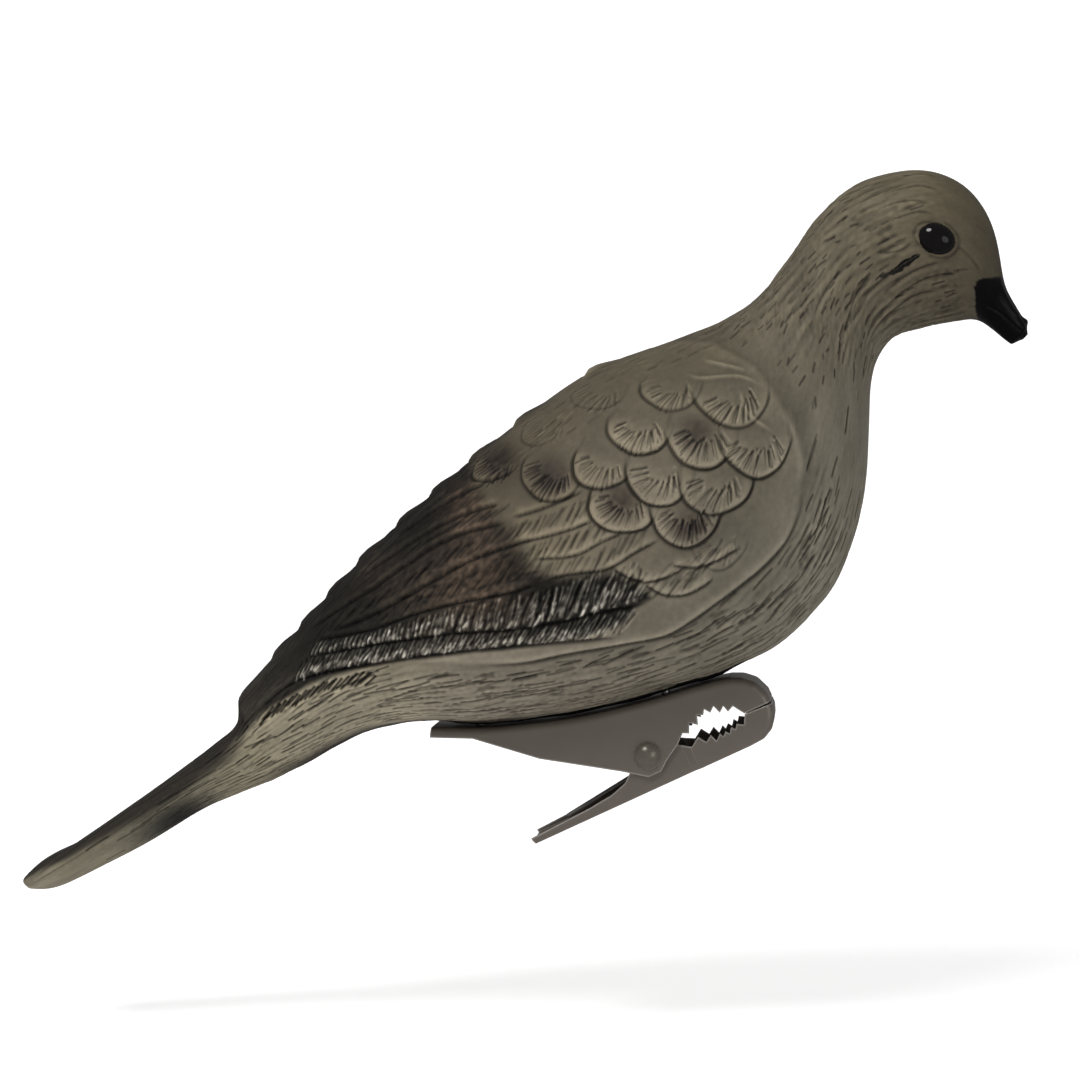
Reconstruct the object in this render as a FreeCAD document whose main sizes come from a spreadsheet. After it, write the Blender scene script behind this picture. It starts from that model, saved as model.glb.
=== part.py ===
"""Clip-on mourning dove decoy: a hollow moulded dove in two halves on a stamped steel spring clip.

Frame: millimetres, +X towards the bill, +Y to the bird's left, +Z up. The origin is the centre of the
clip's toothed mouth, where the twig lies along Y. The clip is drawn level, with its jaws meeting on
z = 0, and is then tilted about Y by jaw_tilt.
"""
import FreeCAD
import Part
import Sketcher
import math
import os

from FreeCAD import Rotation, Vector

doc = FreeCAD.newDocument("dove_decoy")
sheet = doc.addObject("Spreadsheet::Sheet", "Sizes")

SIZES = {
    # stamped clip
    "jaw_tilt": 25.0, "clip_width": 18.0, "steel": 1.0, "bend_radius": 2.0, "side_gap": 0.2,
    "pivot_along": -18.2, "pivot_hole_radius": 2.05,
    "joggle_start": -9.3, "joggle_end": -7.3,
    # rivet and spring
    "rivet_radius": 2.0, "rivet_head_radius": 3.7, "rivet_head_height": 2.0, "rivet_tail_radius": 3.2,
    "wire_radius": 0.7, "coil_radius": 3.5, "coil_pitch": 1.6, "coil_turns": 6.0,
    "upper_leg_end": -49.3, "lower_leg_end": -45.3,
    # screws up through the clip into the belly
    "screw_radius": 1.5, "screw_core_radius": 1.15, "screw_length": 9.0, "screw_pitch": 1.3,
    "screw_head_radius": 2.9, "screw_head_height": 2.0, "screw_hole_radius": 1.7, "screw_slot": 0.8,
    "front_screw_along": -7.9, "rear_screw_along": -55.3, "boss_radius": 3.6, "boss_height": 9.0,
    "land_front": 9.0, "land_back": -61.3, "land_half_width": 6.0,
    # shell and eyes
    "wall": 2.2, "seat_gap": 0.05,
    "eye_along": 55.5, "eye_height": 123.2, "eye_radius": 4.7, "eye_drop": 3.8, "eye_bulge": 2.6,
    "eye_sink": 0.9, "eye_slope": 24.0,
}

# Corners of the clip's two stampings, (along, height) on the level clip.
UPPER_TOP = [
    (-66.30, 29.47), (-62.79, 27.87), (-59.31, 26.29), (-56.06, 24.81), (-52.43, 23.30),
    (-49.32, 22.17), (-45.85, 21.00), (-42.40, 19.87), (-39.11, 18.80), (-35.83, 17.78),
    (-32.50, 16.83), (-29.08, 15.99), (-25.61, 15.21), (-22.14, 14.50), (-18.72, 13.83),
    (-15.30, 13.21), (-11.82, 12.66), (-8.14, 12.17), (-4.41, 11.74), (-1.05, 11.32), (2.82, 10.67),
    (6.27, 10.04), (9.29, 9.30), (12.21, 7.97), (14.85, 5.58), (16.31, 1.90),
]
UPPER_LOW = [
    (-14.0, -3.0), (-16.7, -5.1), (-20.2, -5.1), (-26.2, -0.8), (-43.9, 10.7), (-57.5, 22.5),
    (-67.5, 27.3),
]
LOWER_BACK = [
    (16.3, -2.2), (15.4, -4.6), (13.6, -6.9), (10.7, -8.4), (6.8, -8.7), (-54.4, -9.2),
]
LOWER_TOP = [
    (-54.8, -7.3), (-38.0, -6.4), (-31.1, -5.6), (-26.6, -4.2), (-23.2, -1.3), (-22.0, 2.8),
    (-18.2, 4.5), (-14.4, 3.3),
]
UPPER_TEETH = [
    (8.9, -0.3), (7.0, 2.6), (5.3, 1.8), (4.8, 3.6), (3.3, 2.4), (2.5, 4.6), (1.1, 3.4), (0.0, 4.9),
    (-0.8, 3.6), (-2.3, 4.3), (-3.1, 1.9), (-4.9, 3.3), (-6.1, 0.8), (-7.6, 1.6), (-9.9, -0.6),
]
LOWER_TEETH = [
    (-10.0, -0.8), (-6.9, -2.6), (-4.4, -0.9), (-3.0, -3.0), (-1.2, -1.8), (-0.5, -3.8), (1.1, -2.4),
    (1.5, -3.5), (2.6, -2.5), (3.3, -3.5), (4.4, -2.1), (5.1, -3.1), (6.0, -1.9), (7.6, -2.9),
    (8.9, -0.5),
]

# Stations of the body, tail to bill: where the section meets the back and the belly (x, z), its half
# width, the height of its widest part as a share of its depth, and how square its top and bottom are.
STATIONS = {
    "tail_end": (-182.7, -44.4, -180.7, -46.8, 7.5, 0.60, 2.6, 2.0),
    "tail_tip": (-176.7, -39.2, -172.9, -46.1, 11.0, 0.64, 3.0, 1.9),
    "tail_middle": (-159.6, -27.4, -151.6, -34.3, 13.0, 0.68, 3.2, 1.8),
    "tail_root": (-142.0, -15.0, -132.1, -20.7, 15.0, 0.70, 3.0, 1.8),
    "rump": (-126.9, -3.5, -113.3, -14.2, 16.5, 0.68, 2.8, 1.9),
    "wing_notch": (-123.2, 0.3, -111.0, -13.3, 17.2, 0.66, 2.6, 1.9),
    "wing_tip": (-124.6, 5.7, -108.1, -12.0, 18.2, 0.62, 2.3, 2.0),
    "wing_tip_top": (-120.9, 10.0, -103.4, -10.0, 20.0, 0.60, 2.2, 2.0),
    "primaries": (-106.7, 25.6, -90.3, -3.6, 25.0, 0.56, 2.1, 2.0),
    "loin": (-92.3, 41.5, -75.3, -0.7, 29.5, 0.53, 2.1, 2.0),
    "saddle": (-75.5, 57.2, -58.2, -0.6, 33.0, 0.51, 2.1, 2.1),
    "middle_back": (-52.9, 76.2, -37.2, 2.3, 35.6, 0.50, 2.1, 2.1),
    "upper_back": (-32.1, 90.9, -16.4, 7.2, 36.4, 0.50, 2.1, 2.1),
    "shoulder": (-13.1, 98.1, 3.7, 13.7, 35.4, 0.50, 2.1, 2.1),
    "mantle": (1.3, 103.6, 18.6, 21.5, 32.8, 0.50, 2.1, 2.1),
    "breast": (10.0, 109.2, 32.0, 37.1, 28.4, 0.50, 2.1, 2.1),
    "crop": (15.3, 115.1, 38.5, 57.7, 23.6, 0.50, 2.1, 2.1),
    "neck": (19.6, 121.4, 39.8, 75.5, 19.6, 0.50, 2.1, 2.1),
    "nape": (24.1, 127.8, 40.3, 88.4, 17.2, 0.50, 2.1, 2.1),
    "throat": (29.8, 134.2, 43.0, 96.5, 16.0, 0.51, 2.1, 2.1),
    "ear": (37.1, 139.0, 47.1, 99.6, 15.8, 0.53, 2.1, 2.1),
    "crown": (46.9, 141.7, 53.0, 101.1, 15.7, 0.55, 2.1, 2.1),
    "brow": (55.9, 141.3, 58.5, 102.3, 15.2, 0.56, 2.1, 2.1),
    "forehead": (64.2, 137.0, 62.8, 103.1, 13.6, 0.55, 2.1, 2.1),
    "lore": (69.8, 129.2, 65.6, 103.2, 10.8, 0.53, 2.1, 2.1),
    "bill_root": (72.5, 119.6, 67.7, 102.5, 7.0, 0.50, 2.1, 2.1),
    "bill_base": (73.4, 112.7, 69.9, 100.9, 4.7, 0.50, 2.2, 2.2),
    "bill_middle": (76.7, 106.9, 72.8, 98.7, 3.8, 0.50, 2.3, 2.3),
    "bill_tip": (80.0, 101.3, 76.2, 97.0, 2.7, 0.50, 2.3, 2.3),
}
FIELDS = ("back_x", "back_z", "belly_x", "belly_z", "half_width", "widest", "top_square", "low_square")
CAVITY_FIRST, CAVITY_LAST = "tail_middle", "lore"
ROWS_BETWEEN_STATIONS = 3
SECTION_POINTS = 17
TINY = 1e-3


def fill_sheet():
    """Writes every driving dimension to a cell of the sheet, under its alias."""
    cells = dict(SIZES)
    for name, values in STATIONS.items():
        cells.update({f"{name}_{field}": value for field, value in zip(FIELDS, values)})
    for name, corners in (("upper_top", UPPER_TOP), ("upper_low", UPPER_LOW),
                          ("lower_back", LOWER_BACK), ("lower_top", LOWER_TOP),
                          ("upper_teeth", UPPER_TEETH), ("lower_teeth", LOWER_TEETH)):
        for i, (along, height) in enumerate(corners):
            cells[f"{name}_{i}_along"] = along
            cells[f"{name}_{i}_height"] = height
    for row, (alias, value) in enumerate(cells.items(), start=1):
        sheet.set(f"A{row}", alias.replace("_", " "))
        sheet.set(f"B{row}", str(value))
        sheet.setAlias(f"B{row}", alias)
    doc.recompute()


fill_sheet()


def size(alias):
    return float(sheet.get(alias))


# ---------------------------------------------------------------- sketches on the level clip

def terms_value(terms):
    return sum(factor * size(alias) for factor, alias in terms)


def terms_text(terms):
    return " + ".join(f"({factor:.6f}) * Sizes.{alias}" for factor, alias in terms)


def one(alias, factor=1.0):
    """A coordinate that is one cell of the sheet times a factor."""
    return [(factor, alias)]


def corner_list(name, corners):
    """The corners of a named outline as sheet terms."""
    return [(one(f"{name}_{i}_along"), one(f"{name}_{i}_height")) for i in range(len(corners))]


def closed_sketch(name, corners, flat=False):
    """A closed sketch of straight edges whose corners are bound to the sheet. It lies in the XZ plane,
    or in the XY plane where flat is true."""
    sketch = doc.addObject("Sketcher::SketchObject", name)
    turn = Rotation() if flat else Rotation(Vector(1, 0, 0), 90)
    sketch.Placement = FreeCAD.Placement(Vector(), turn)
    points = [Vector(terms_value(a), terms_value(b), 0) for a, b in corners]
    count = len(points)
    for i in range(count):
        sketch.addGeometry(Part.LineSegment(points[i], points[(i + 1) % count]), False)
    for i in range(count):
        sketch.addConstraint(Sketcher.Constraint("Coincident", i, 2, (i + 1) % count, 1))
    for i, (along, height) in enumerate(corners):
        for kind, terms in (("DistanceX", along), ("DistanceY", height)):
            index = sketch.addConstraint(Sketcher.Constraint(kind, -1, 1, i, 1, terms_value(terms)))
            sketch.setExpression(f"Constraints[{index}]", terms_text(terms))
    return sketch


def across(name, sketch, width_text):
    """The sketch extruded to both sides of its plane, by a width bound to the sheet."""
    solid = doc.addObject("Part::Extrusion", name)
    solid.Base = sketch
    solid.DirMode = "Normal"
    solid.Symmetric = True
    solid.Solid = True
    solid.setExpression("LengthFwd", width_text)
    return solid


def boolean(kind, name, *shapes):
    """A Part::Cut, Part::MultiFuse or Part::MultiCommon of other objects."""
    made = doc.addObject(kind, name)
    if kind == "Part::Cut":
        made.Base, made.Tool = shapes
    else:
        made.Shapes = list(shapes)
    doc.recompute()
    return made


def rounded(name, base, pick, radius):
    """base with the edges that pick accepts rounded."""
    made = doc.addObject("Part::Fillet", name)
    made.Base = base
    made.Edges = [(i, radius, radius) for i, e in enumerate(base.Shape.Edges, start=1) if pick(e)]
    doc.recompute()
    return made


def pin(name, radius_text, length_text, along_text):
    """A cylinder across the clip, centred on y = 0."""
    made = doc.addObject("Part::Cylinder", name)
    made.setExpression("Radius", radius_text)
    made.setExpression("Height", length_text)
    made.Placement.Rotation = Rotation(Vector(1, 0, 0), 90)
    made.setExpression("Placement.Base.x", along_text)
    made.setExpression("Placement.Base.y", f"({length_text}) / 2")
    return made


def level_to_place():
    """The turn from the level clip to the clip as it sits under the bird."""
    return Rotation(Vector(0, -1, 0), size("jaw_tilt"))


def tilted(label, made):
    """The finished sub-part: the level shape under its own label, turned to the clip's tilt."""
    node = doc.addObject("Part::Compound", label)
    node.Links = [made]
    node.Label = label
    node.Placement = FreeCAD.Placement(Vector(), level_to_place())
    node.setExpression("Placement.Rotation.Angle", "Sizes.jaw_tilt")
    return node


def feature(label, shape, level=False):
    """A sub-part whose shape comes from Part's own functions, tilted if it was drawn on the level clip."""
    node = doc.addObject("Part::Feature", label)
    node.Label = label
    node.Shape = shape
    if level:
        node.Placement = FreeCAD.Placement(Vector(), level_to_place())
        node.setExpression("Placement.Rotation.Angle", "Sizes.jaw_tilt")
    return node


# ---------------------------------------------------------------- the clip's two stampings

NOSE = 3.0  # radius of the bends at the tips of the two jaws


def one_sheet_in(name, corners):
    """The corners of a named outline moved one sheet thickness square to it, to its right."""
    moved = []
    last = len(corners) - 1
    for i in range(last + 1):
        squares = []
        for a in (max(i - 1, 0), min(i, last - 1)):
            run = Vector(corners[a + 1][0] - corners[a][0], corners[a + 1][1] - corners[a][1], 0).normalize()
            squares.append(Vector(run.y, -run.x, 0))
        way = (squares[0] + squares[1]).normalize()
        way = way / way.dot(squares[0])
        moved.append((one(f"{name}_{i}_along") + [(way.x, "steel")],
                      one(f"{name}_{i}_height") + [(way.y, "steel")]))
    return moved


def distance_to(corners, x, z):
    """Distance from a point to a line of straight edges."""
    best = 1e9
    for (x1, z1), (x2, z2) in zip(corners, corners[1:]):
        share = ((x - x1) * (x2 - x1) + (z - z1) * (z2 - z1)) / ((x2 - x1) ** 2 + (z2 - z1) ** 2)
        share = min(max(share, 0), 1)
        best = min(best, math.hypot(x - x1 - share * (x2 - x1), z - z1 - share * (z2 - z1)))
    return best


def cross_edges(corners):
    """Picks the edges along Y that stand on one of the corners."""
    def pick(edge):
        a, b = edge.Vertexes[0].Point, edge.Vertexes[-1].Point
        return abs(a.y - b.y) > 1 and any(math.hypot(a.x - x, a.z - z) < 0.05 for x, z in corners)
    return pick


def bend_edges(corners):
    """Picks the edges where a web with this outline meets its flanges."""
    def pick(edge):
        ends = [v.Point for v in edge.Vertexes]
        across_clip = abs(edge.tangentAt(edge.FirstParameter).y) > 0.9
        return len(ends) == 2 and not across_clip and all(distance_to(corners, p.x, p.z) < 0.3 for p in ends)
    return pick


def height_on(corners, along):
    """Height of an outline of straight edges at a place along the clip."""
    points = sorted(corners)
    for (x1, z1), (x2, z2) in zip(points, points[1:]):
        if x1 <= along <= x2:
            return z1 + (z2 - z1) * (along - x1) / (x2 - x1)
    raise ValueError(f"{along} is off the outline")


def upper_jaw():
    """The fixed half: a web under the belly, two deep flanges, and the upper row of teeth."""
    last = len(UPPER_TOP) - 1
    nose_end = [(one(f"upper_top_{last}_along"), one("upper_teeth_0_height"))]
    outline = corner_list("upper_top", UPPER_TOP) + nose_end
    outline += corner_list("upper_teeth", UPPER_TEETH) + corner_list("upper_low", UPPER_LOW)
    plate = across("upper_plate", closed_sketch("upper_side", outline), "Sizes.clip_width")
    under = one_sheet_in("upper_top", UPPER_TOP)
    behind, below = [(1.0, "upper_top_0_along"), (-20.0, "steel")], [(-40.0, "steel")]
    under[0] = (behind, [(1.0, "upper_top_0_height"), (8.0, "steel")])
    under += [(under[-1][0], below), (behind, below)]
    inside = closed_sketch("upper_inside", under)
    hollow = across("upper_hollow", inside, "Sizes.clip_width - 2 * Sizes.steel")
    doc.recompute()
    plate = rounded("upper_nose", plate, cross_edges(UPPER_TOP[-4:-1]), NOSE)
    web = UPPER_TOP + [(UPPER_TOP[-1][0], UPPER_TEETH[0][1])]
    bent = rounded("upper_bent", plate, bend_edges(web), size("bend_radius"))
    channel = boolean("Part::Cut", "upper_channel", bent, hollow)
    hole = pin("upper_pivot_hole", "Sizes.pivot_hole_radius", "Sizes.clip_width + 2", "Sizes.pivot_along")
    holes = boolean("Part::MultiFuse", "upper_holes", hole, screw_hole("front"), screw_hole("rear"))
    return tilted("clip_upper_jaw", boolean("Part::Cut", "upper_drilled", channel, holes))


def screw_seat(name):
    """Where a screw crosses the top of the web, and the turn about Y that stands it square to the web."""
    along = size(f"{name}_screw_along")
    height = height_on(UPPER_TOP, along)
    slope = math.degrees(math.atan2(height_on(UPPER_TOP, along + 1) - height_on(UPPER_TOP, along - 1), 2))
    return FreeCAD.Placement(Vector(along, 0, height), Rotation(Vector(0, 1, 0), -slope))


def screw_hole(name):
    """The clearance hole in the web for one screw."""
    hole = doc.addObject("Part::Cylinder", f"{name}_screw_hole")
    hole.setExpression("Radius", "Sizes.screw_hole_radius")
    hole.Height = 4 * size("steel")
    seat = screw_seat(name)
    hole.Placement = seat.multiply(FreeCAD.Placement(Vector(0, 0, -2 * size("steel")), Rotation()))
    return hole


def plan_outline(name, sheets_in):
    """The lower jaw seen from above: narrow between the upper flanges, then joggled out to full width."""
    narrow = [(0.5, "clip_width"), (-1.0 - sheets_in, "steel"), (-1.0, "side_gap")]
    wide = [(0.5, "clip_width"), (-sheets_in, "steel")]
    back, front = [(-70.0, "steel")], [(25.0, "steel")]
    side = [(back, narrow), (one("joggle_start"), narrow), (one("joggle_end"), wide), (front, wide)]
    other = [(along, [(-f, a) for f, a in terms]) for along, terms in reversed(side)]
    return closed_sketch(name, side + other, flat=True)


def lower_jaw():
    """The moving half: the lower row of teeth, and the short handle that is squeezed."""
    nose_top = (one("lower_back_0_along"), one("lower_teeth_0_height"))
    outline = [nose_top] + corner_list("lower_back", LOWER_BACK) + corner_list("lower_top", LOWER_TOP)
    outline += corner_list("lower_teeth", LOWER_TEETH)
    side = across("lower_side_block", closed_sketch("lower_side", outline), "Sizes.clip_width")
    plan = across("lower_plan_block", plan_outline("lower_plan", 0.0), "120 * Sizes.steel")
    doc.recompute()
    side = rounded("lower_nose", side, cross_edges(LOWER_BACK[:4]), NOSE)
    block = boolean("Part::MultiCommon", "lower_block", side, plan)
    web = [(LOWER_BACK[0][0], LOWER_TEETH[0][1])] + LOWER_BACK
    bent = rounded("lower_bent", block, bend_edges(web), size("bend_radius"))
    inside = one_sheet_in("lower_back", LOWER_BACK)
    behind, above = [(-70.0, "steel")], [(40.0, "steel")]
    inside[-1] = (behind, [(1.0, f"lower_back_{len(LOWER_BACK) - 1}_height"), (1.0, "steel")])
    inside += [(behind, above), (inside[0][0], above)]
    hollow_side = across("lower_hollow_side", closed_sketch("lower_inside", inside), "Sizes.clip_width")
    hollow_plan = across("lower_hollow_plan", plan_outline("lower_inner_plan", 1.0), "120 * Sizes.steel")
    hollow = boolean("Part::MultiCommon", "lower_hollow", hollow_side, hollow_plan)
    channel = boolean("Part::Cut", "lower_channel", bent, hollow)
    hole = pin("lower_pivot_hole", "Sizes.pivot_hole_radius", "Sizes.clip_width + 2", "Sizes.pivot_along")
    return tilted("clip_lower_jaw", boolean("Part::Cut", "lower_drilled", channel, hole))


# ---------------------------------------------------------------- rivet, spring and screws

def rivet_cap(name, side, radius_alias, height_alias):
    """A domed head on one outer face of the clip: the cap of a sphere."""
    cap = doc.addObject("Part::Sphere", name)
    rad, high = f"Sizes.{radius_alias}", f"Sizes.{height_alias}"
    ball = f"(({rad}) ^ 2 + ({high}) ^ 2) / (2 * {high})"
    cap.setExpression("Radius", ball)
    cap.setExpression("Angle1", f"asin(1 - {high} / ({ball}))")
    cap.Angle2 = 90
    r, h = size(radius_alias), size(height_alias)
    sphere = (r * r + h * h) / (2 * h)
    middle = side * (size("clip_width") / 2 - (sphere - h))
    outward = Rotation(Vector(1, 0, 0), -90 * side)
    cap.Placement = FreeCAD.Placement(Vector(size("pivot_along"), middle, 0), outward)
    return cap


def rivet():
    shank = pin("rivet_shank", "Sizes.rivet_radius", "Sizes.clip_width", "Sizes.pivot_along")
    head = rivet_cap("rivet_head", -1, "rivet_head_radius", "rivet_head_height")
    tail = rivet_cap("rivet_tail", 1, "rivet_tail_radius", "rivet_head_height")
    return tilted("pivot_rivet", boolean("Part::MultiFuse", "rivet_whole", shank, head, tail))


def tangent_angle(end, side):
    """Angle on the coil, in the XZ plane, where a straight leg to end touches it."""
    dx, dz = end[0] - size("pivot_along"), end[1]
    return math.atan2(dz, dx) + side * math.acos(size("coil_radius") / math.hypot(dx, dz))


def spring():
    """A torsion spring round the rivet, with one leg under each handle's web."""
    wire, coil, pivot = size("wire_radius"), size("coil_radius"), size("pivot_along")
    reach = 1.2 * size("steel") + wire + 0.15
    upper_along, lower_along = size("upper_leg_end"), size("lower_leg_end")
    upper_end = (upper_along, height_on(UPPER_TOP, upper_along) - reach)
    lower_end = (lower_along, height_on(LOWER_BACK[-2:], lower_along) + reach)
    start, stop = tangent_angle(upper_end, -1), tangent_angle(lower_end, 1)
    turns = int(size("coil_turns")) - 1 + (start - stop) / (2 * math.pi) % 1
    length = turns * size("coil_pitch")
    helix = Part.makeHelix(size("coil_pitch"), length, coil)
    helix.Placement = FreeCAD.Placement(FreeCAD.Matrix(
        math.cos(start), math.sin(start), 0, pivot, 0, 0, 1, -length / 2,
        math.sin(start), -math.cos(start), 0, 0, 0, 0, 0, 1))
    winding = helix.Edges[0]
    first, last = winding.valueAt(winding.FirstParameter), winding.valueAt(winding.LastParameter)
    upper_tip = Vector(upper_end[0], first.y, upper_end[1])
    lower_tip = Vector(lower_end[0], last.y, lower_end[1])
    centre = Part.Wire([Part.makeLine(upper_tip, first), winding, Part.makeLine(last, lower_tip)])
    ring = Part.Wire(Part.makeCircle(wire, upper_tip, first - upper_tip))
    return feature("torsion_spring", centre.makePipeShell([ring], True, True, 0), level=True)


def screw(name):
    """A pan-head tapping screw, up through the web into the belly's boss."""
    crest, core, length = size("screw_radius"), size("screw_core_radius"), size("screw_length")
    radius, height, pitch = size("screw_head_radius"), size("screw_head_height"), size("screw_pitch")
    top = -1.1 * size("steel")
    profile = [Vector(0, 0, top - height), Vector(0.55 * radius, 0, top - height),
               Vector(0.88 * radius, 0, top - 0.72 * height), Vector(radius, 0, top - 0.35 * height),
               Vector(radius, 0, top), Vector(core, 0, top), Vector(core, 0, 0.4)]
    for i in range(int((length - 2.6) / pitch)):
        z = 0.6 + i * pitch
        profile += [Vector(core, 0, z), Vector(crest, 0, z + 0.45 * pitch)]
        profile += [Vector(core, 0, z + 0.9 * pitch)]
    profile += [Vector(core, 0, length - 1.8), Vector(0, 0, length), profile[0]]
    shape = Part.Face(Part.makePolygon(profile)).revolve(Vector(), Vector(0, 0, 1), 360)
    slot, depth = size("screw_slot"), 0.6 * height
    for turn in (0, 90):
        arm = Part.makeBox(1.3 * radius, slot, depth, Vector(-0.65 * radius, -slot / 2, top - height))
        shape = shape.cut(arm.rotate(Vector(), Vector(0, 0, 1), turn))
    node = feature(f"clip_screw_{name}", shape)
    node.Placement = FreeCAD.Placement(Vector(), level_to_place()).multiply(screw_seat(name))
    return node


# ---------------------------------------------------------------- the moulded body

def blended_rows(stations, between):
    """Rows of section values, with a smooth curve through every station."""
    keys = [0.0]
    for a, b in zip(stations, stations[1:]):
        step = (math.dist(a[0:2], b[0:2]) + math.dist(a[2:4], b[2:4])) / 2
        keys.append(keys[-1] + math.sqrt(step))
    slopes = []
    for i in range(len(stations)):
        before, after = max(i - 1, 0), min(i + 1, len(stations) - 1)
        span = keys[after] - keys[before]
        slopes.append([(q - p) / span for p, q in zip(stations[before], stations[after])])
    rows = []
    for i in range(len(stations) - 1):
        gap = keys[i + 1] - keys[i]
        for j in range(between):
            s = j / between
            weights = (2 * s ** 3 - 3 * s ** 2 + 1, (s ** 3 - 2 * s ** 2 + s) * gap,
                       3 * s ** 2 - 2 * s ** 3, (s ** 3 - s ** 2) * gap)
            parts = zip(stations[i], slopes[i], stations[i + 1], slopes[i + 1])
            rows.append([sum(w * v for w, v in zip(weights, part)) for part in parts])
    return rows + [list(stations[-1])]


def section_points(row, inset):
    """Half a cross-section, from the back down the right side to the belly, inset from the outside."""
    back, belly = Vector(row[0], 0, row[1]), Vector(row[2], 0, row[3])
    half_width, widest, top_square, low_square = row[4] - inset, row[5], row[6], row[7]
    up = (back - belly).normalize()
    depth = back.distanceToPoint(belly) - 2 * inset
    middle = belly + up * (inset + depth * widest)
    points = []
    for i in range(SECTION_POINTS):
        angle = math.pi * i / (SECTION_POINTS - 1)
        c, s = math.cos(angle), max(math.sin(angle), 0.0)
        reach, square = (depth * (1 - widest), top_square) if c > 0 else (depth * widest, low_square)
        rise = math.copysign(reach * abs(c) ** (2 / square), c)
        out = 0.0 if i in (0, SECTION_POINTS - 1) else half_width * s ** (2 / square)
        points.append(middle + up * rise + Vector(0, -out, 0))
    return points


def half_solid(names, inset):
    """The solid between the right side's surface and the plane y = 0."""
    stations = [[size(f"{name}_{field}") for field in FIELDS] for name in names]
    grid = [section_points(row, inset) for row in blended_rows(stations, ROWS_BETWEEN_STATIONS)]
    surface = Part.BSplineSurface()
    surface.interpolate(grid)
    skin = surface.toShape()
    ends, middle_edges = [], []
    for edge in skin.Edges:
        midway = edge.valueAt((edge.FirstParameter + edge.LastParameter) / 2)
        flat = all(abs(point.y) < TINY for point in [midway] + [v.Point for v in edge.Vertexes])
        (middle_edges if flat else ends).append(edge)
    chords = [Part.LineSegment(e.Vertexes[0].Point, e.Vertexes[-1].Point).toShape() for e in ends]
    faces = [skin] + [Part.Face(Part.Wire([e, chord])) for e, chord in zip(ends, chords)]
    faces.append(Part.Face(Part.Wire(Part.__sortEdges__(middle_edges + chords))))
    shell = Part.makeShell(faces)
    shell.sewShape()
    solid = Part.makeSolid(shell)
    return solid if solid.Volume > 0 else solid.reversed()


def boss_axis(name):
    """Where a screw enters the belly, and the way it points, on the clip in its place."""
    seat, turn = screw_seat(name), level_to_place()
    return turn.multVec(seat.Base), turn.multVec(seat.Rotation.multVec(Vector(0, 0, 1)))


def seat_land():
    """The flat land moulded on the belly for the clip's web, its right half."""
    gap, front, back = size("seat_gap"), size("land_front"), size("land_back")
    rise, width = Vector(0, 0, 9), size("land_half_width")
    web = [Vector(x, 0, z + gap) for x, z in UPPER_TOP if back < x < front - 1]
    face = [Vector(back, 0, height_on(UPPER_TOP, back) + gap)] + web
    face.append(Vector(front - 0.8, 0, height_on(UPPER_TOP, front - 0.8) + gap))
    face.append(Vector(front, 0, height_on(UPPER_TOP, front) + gap + 0.8))
    corners = face + [face[-1] + rise, face[0] + rise]
    land = Part.Face(Part.makePolygon(corners + corners[:1])).extrude(Vector(0, -width, 0))
    land.Placement = FreeCAD.Placement(Vector(), level_to_place())
    return land


def eye_place(outer, side):
    """The middle of the eye: on the skin beside the head, sunk a little."""
    level = Vector(size("eye_along"), -40.0, size("eye_height"))
    ray = Part.LineSegment(level, Vector(level.x, 0, level.z)).toShape().common(outer)
    out = min(v.Point.y for v in ray.Vertexes) + size("eye_sink")
    return Vector(level.x, -side * out, level.z)


def eye(label, outer, side):
    """A domed bead, longer than high, with its long axis sloping down towards the bill."""
    bead = doc.addObject("Part::Ellipsoid", label)
    bead.Label = label
    bead.Angle1, bead.Angle2, bead.Angle3 = -90, 90, 360
    bead.setExpression("Radius1", "Sizes.eye_drop")
    bead.setExpression("Radius2", "Sizes.eye_radius")
    bead.setExpression("Radius3", "Sizes.eye_bulge")
    slope = Rotation(Vector(0, 1, 0), size("eye_slope"))
    bead.Placement = FreeCAD.Placement(eye_place(outer, side), slope)
    return bead


def eye_socket(outer):
    """The hollow that the bead of the right eye sits in."""
    gap, ball = size("seat_gap"), Part.makeSphere(1.0)
    grow = FreeCAD.Matrix()
    grow.scale(size("eye_radius") + gap, size("eye_bulge") + gap, size("eye_drop") + gap)
    socket = ball.transformGeometry(grow)
    slope = Rotation(Vector(0, 1, 0), size("eye_slope"))
    socket.Placement = FreeCAD.Placement(eye_place(outer, -1), slope)
    return socket


def body_half(outer):
    """The right half of the hollow body, with its eye socket and half of each screw boss."""
    names = list(STATIONS)
    first, last = names.index(CAVITY_FIRST), names.index(CAVITY_LAST)
    cavity = half_solid(names[first:last + 1], size("wall"))
    half = outer.fuse(seat_land()).cut(cavity)
    right = Part.makeBox(400, 100, 300, Vector(-250, -100, -100))
    for name in ("front", "rear"):
        base, up = boss_axis(name)
        start = base - up * 3
        boss = Part.makeCylinder(size("boss_radius"), size("boss_height") + 3, start, up)
        half = half.fuse(boss.common(right).common(outer))
        bore_radius, bore_length = size("screw_radius") + size("seat_gap"), size("screw_length") + 3.3
        half = half.cut(Part.makeCylinder(bore_radius, bore_length, start, up).common(right))
    half = half.cut(eye_socket(outer))
    return max(half.Solids, key=lambda s: s.Volume)


# ---------------------------------------------------------------- build, check and write

outer_right = half_solid(list(STATIONS), 0.0)
right_half = body_half(outer_right)
nodes = [
    feature("body_half_right", right_half),
    feature("body_half_left", right_half.mirror(Vector(), Vector(0, 1, 0))),
    eye("eye_right", outer_right, -1),
    eye("eye_left", outer_right, 1),
    upper_jaw(),
    lower_jaw(),
    rivet(),
    spring(),
    screw("front"),
    screw("rear"),
]
doc.recompute()

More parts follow.
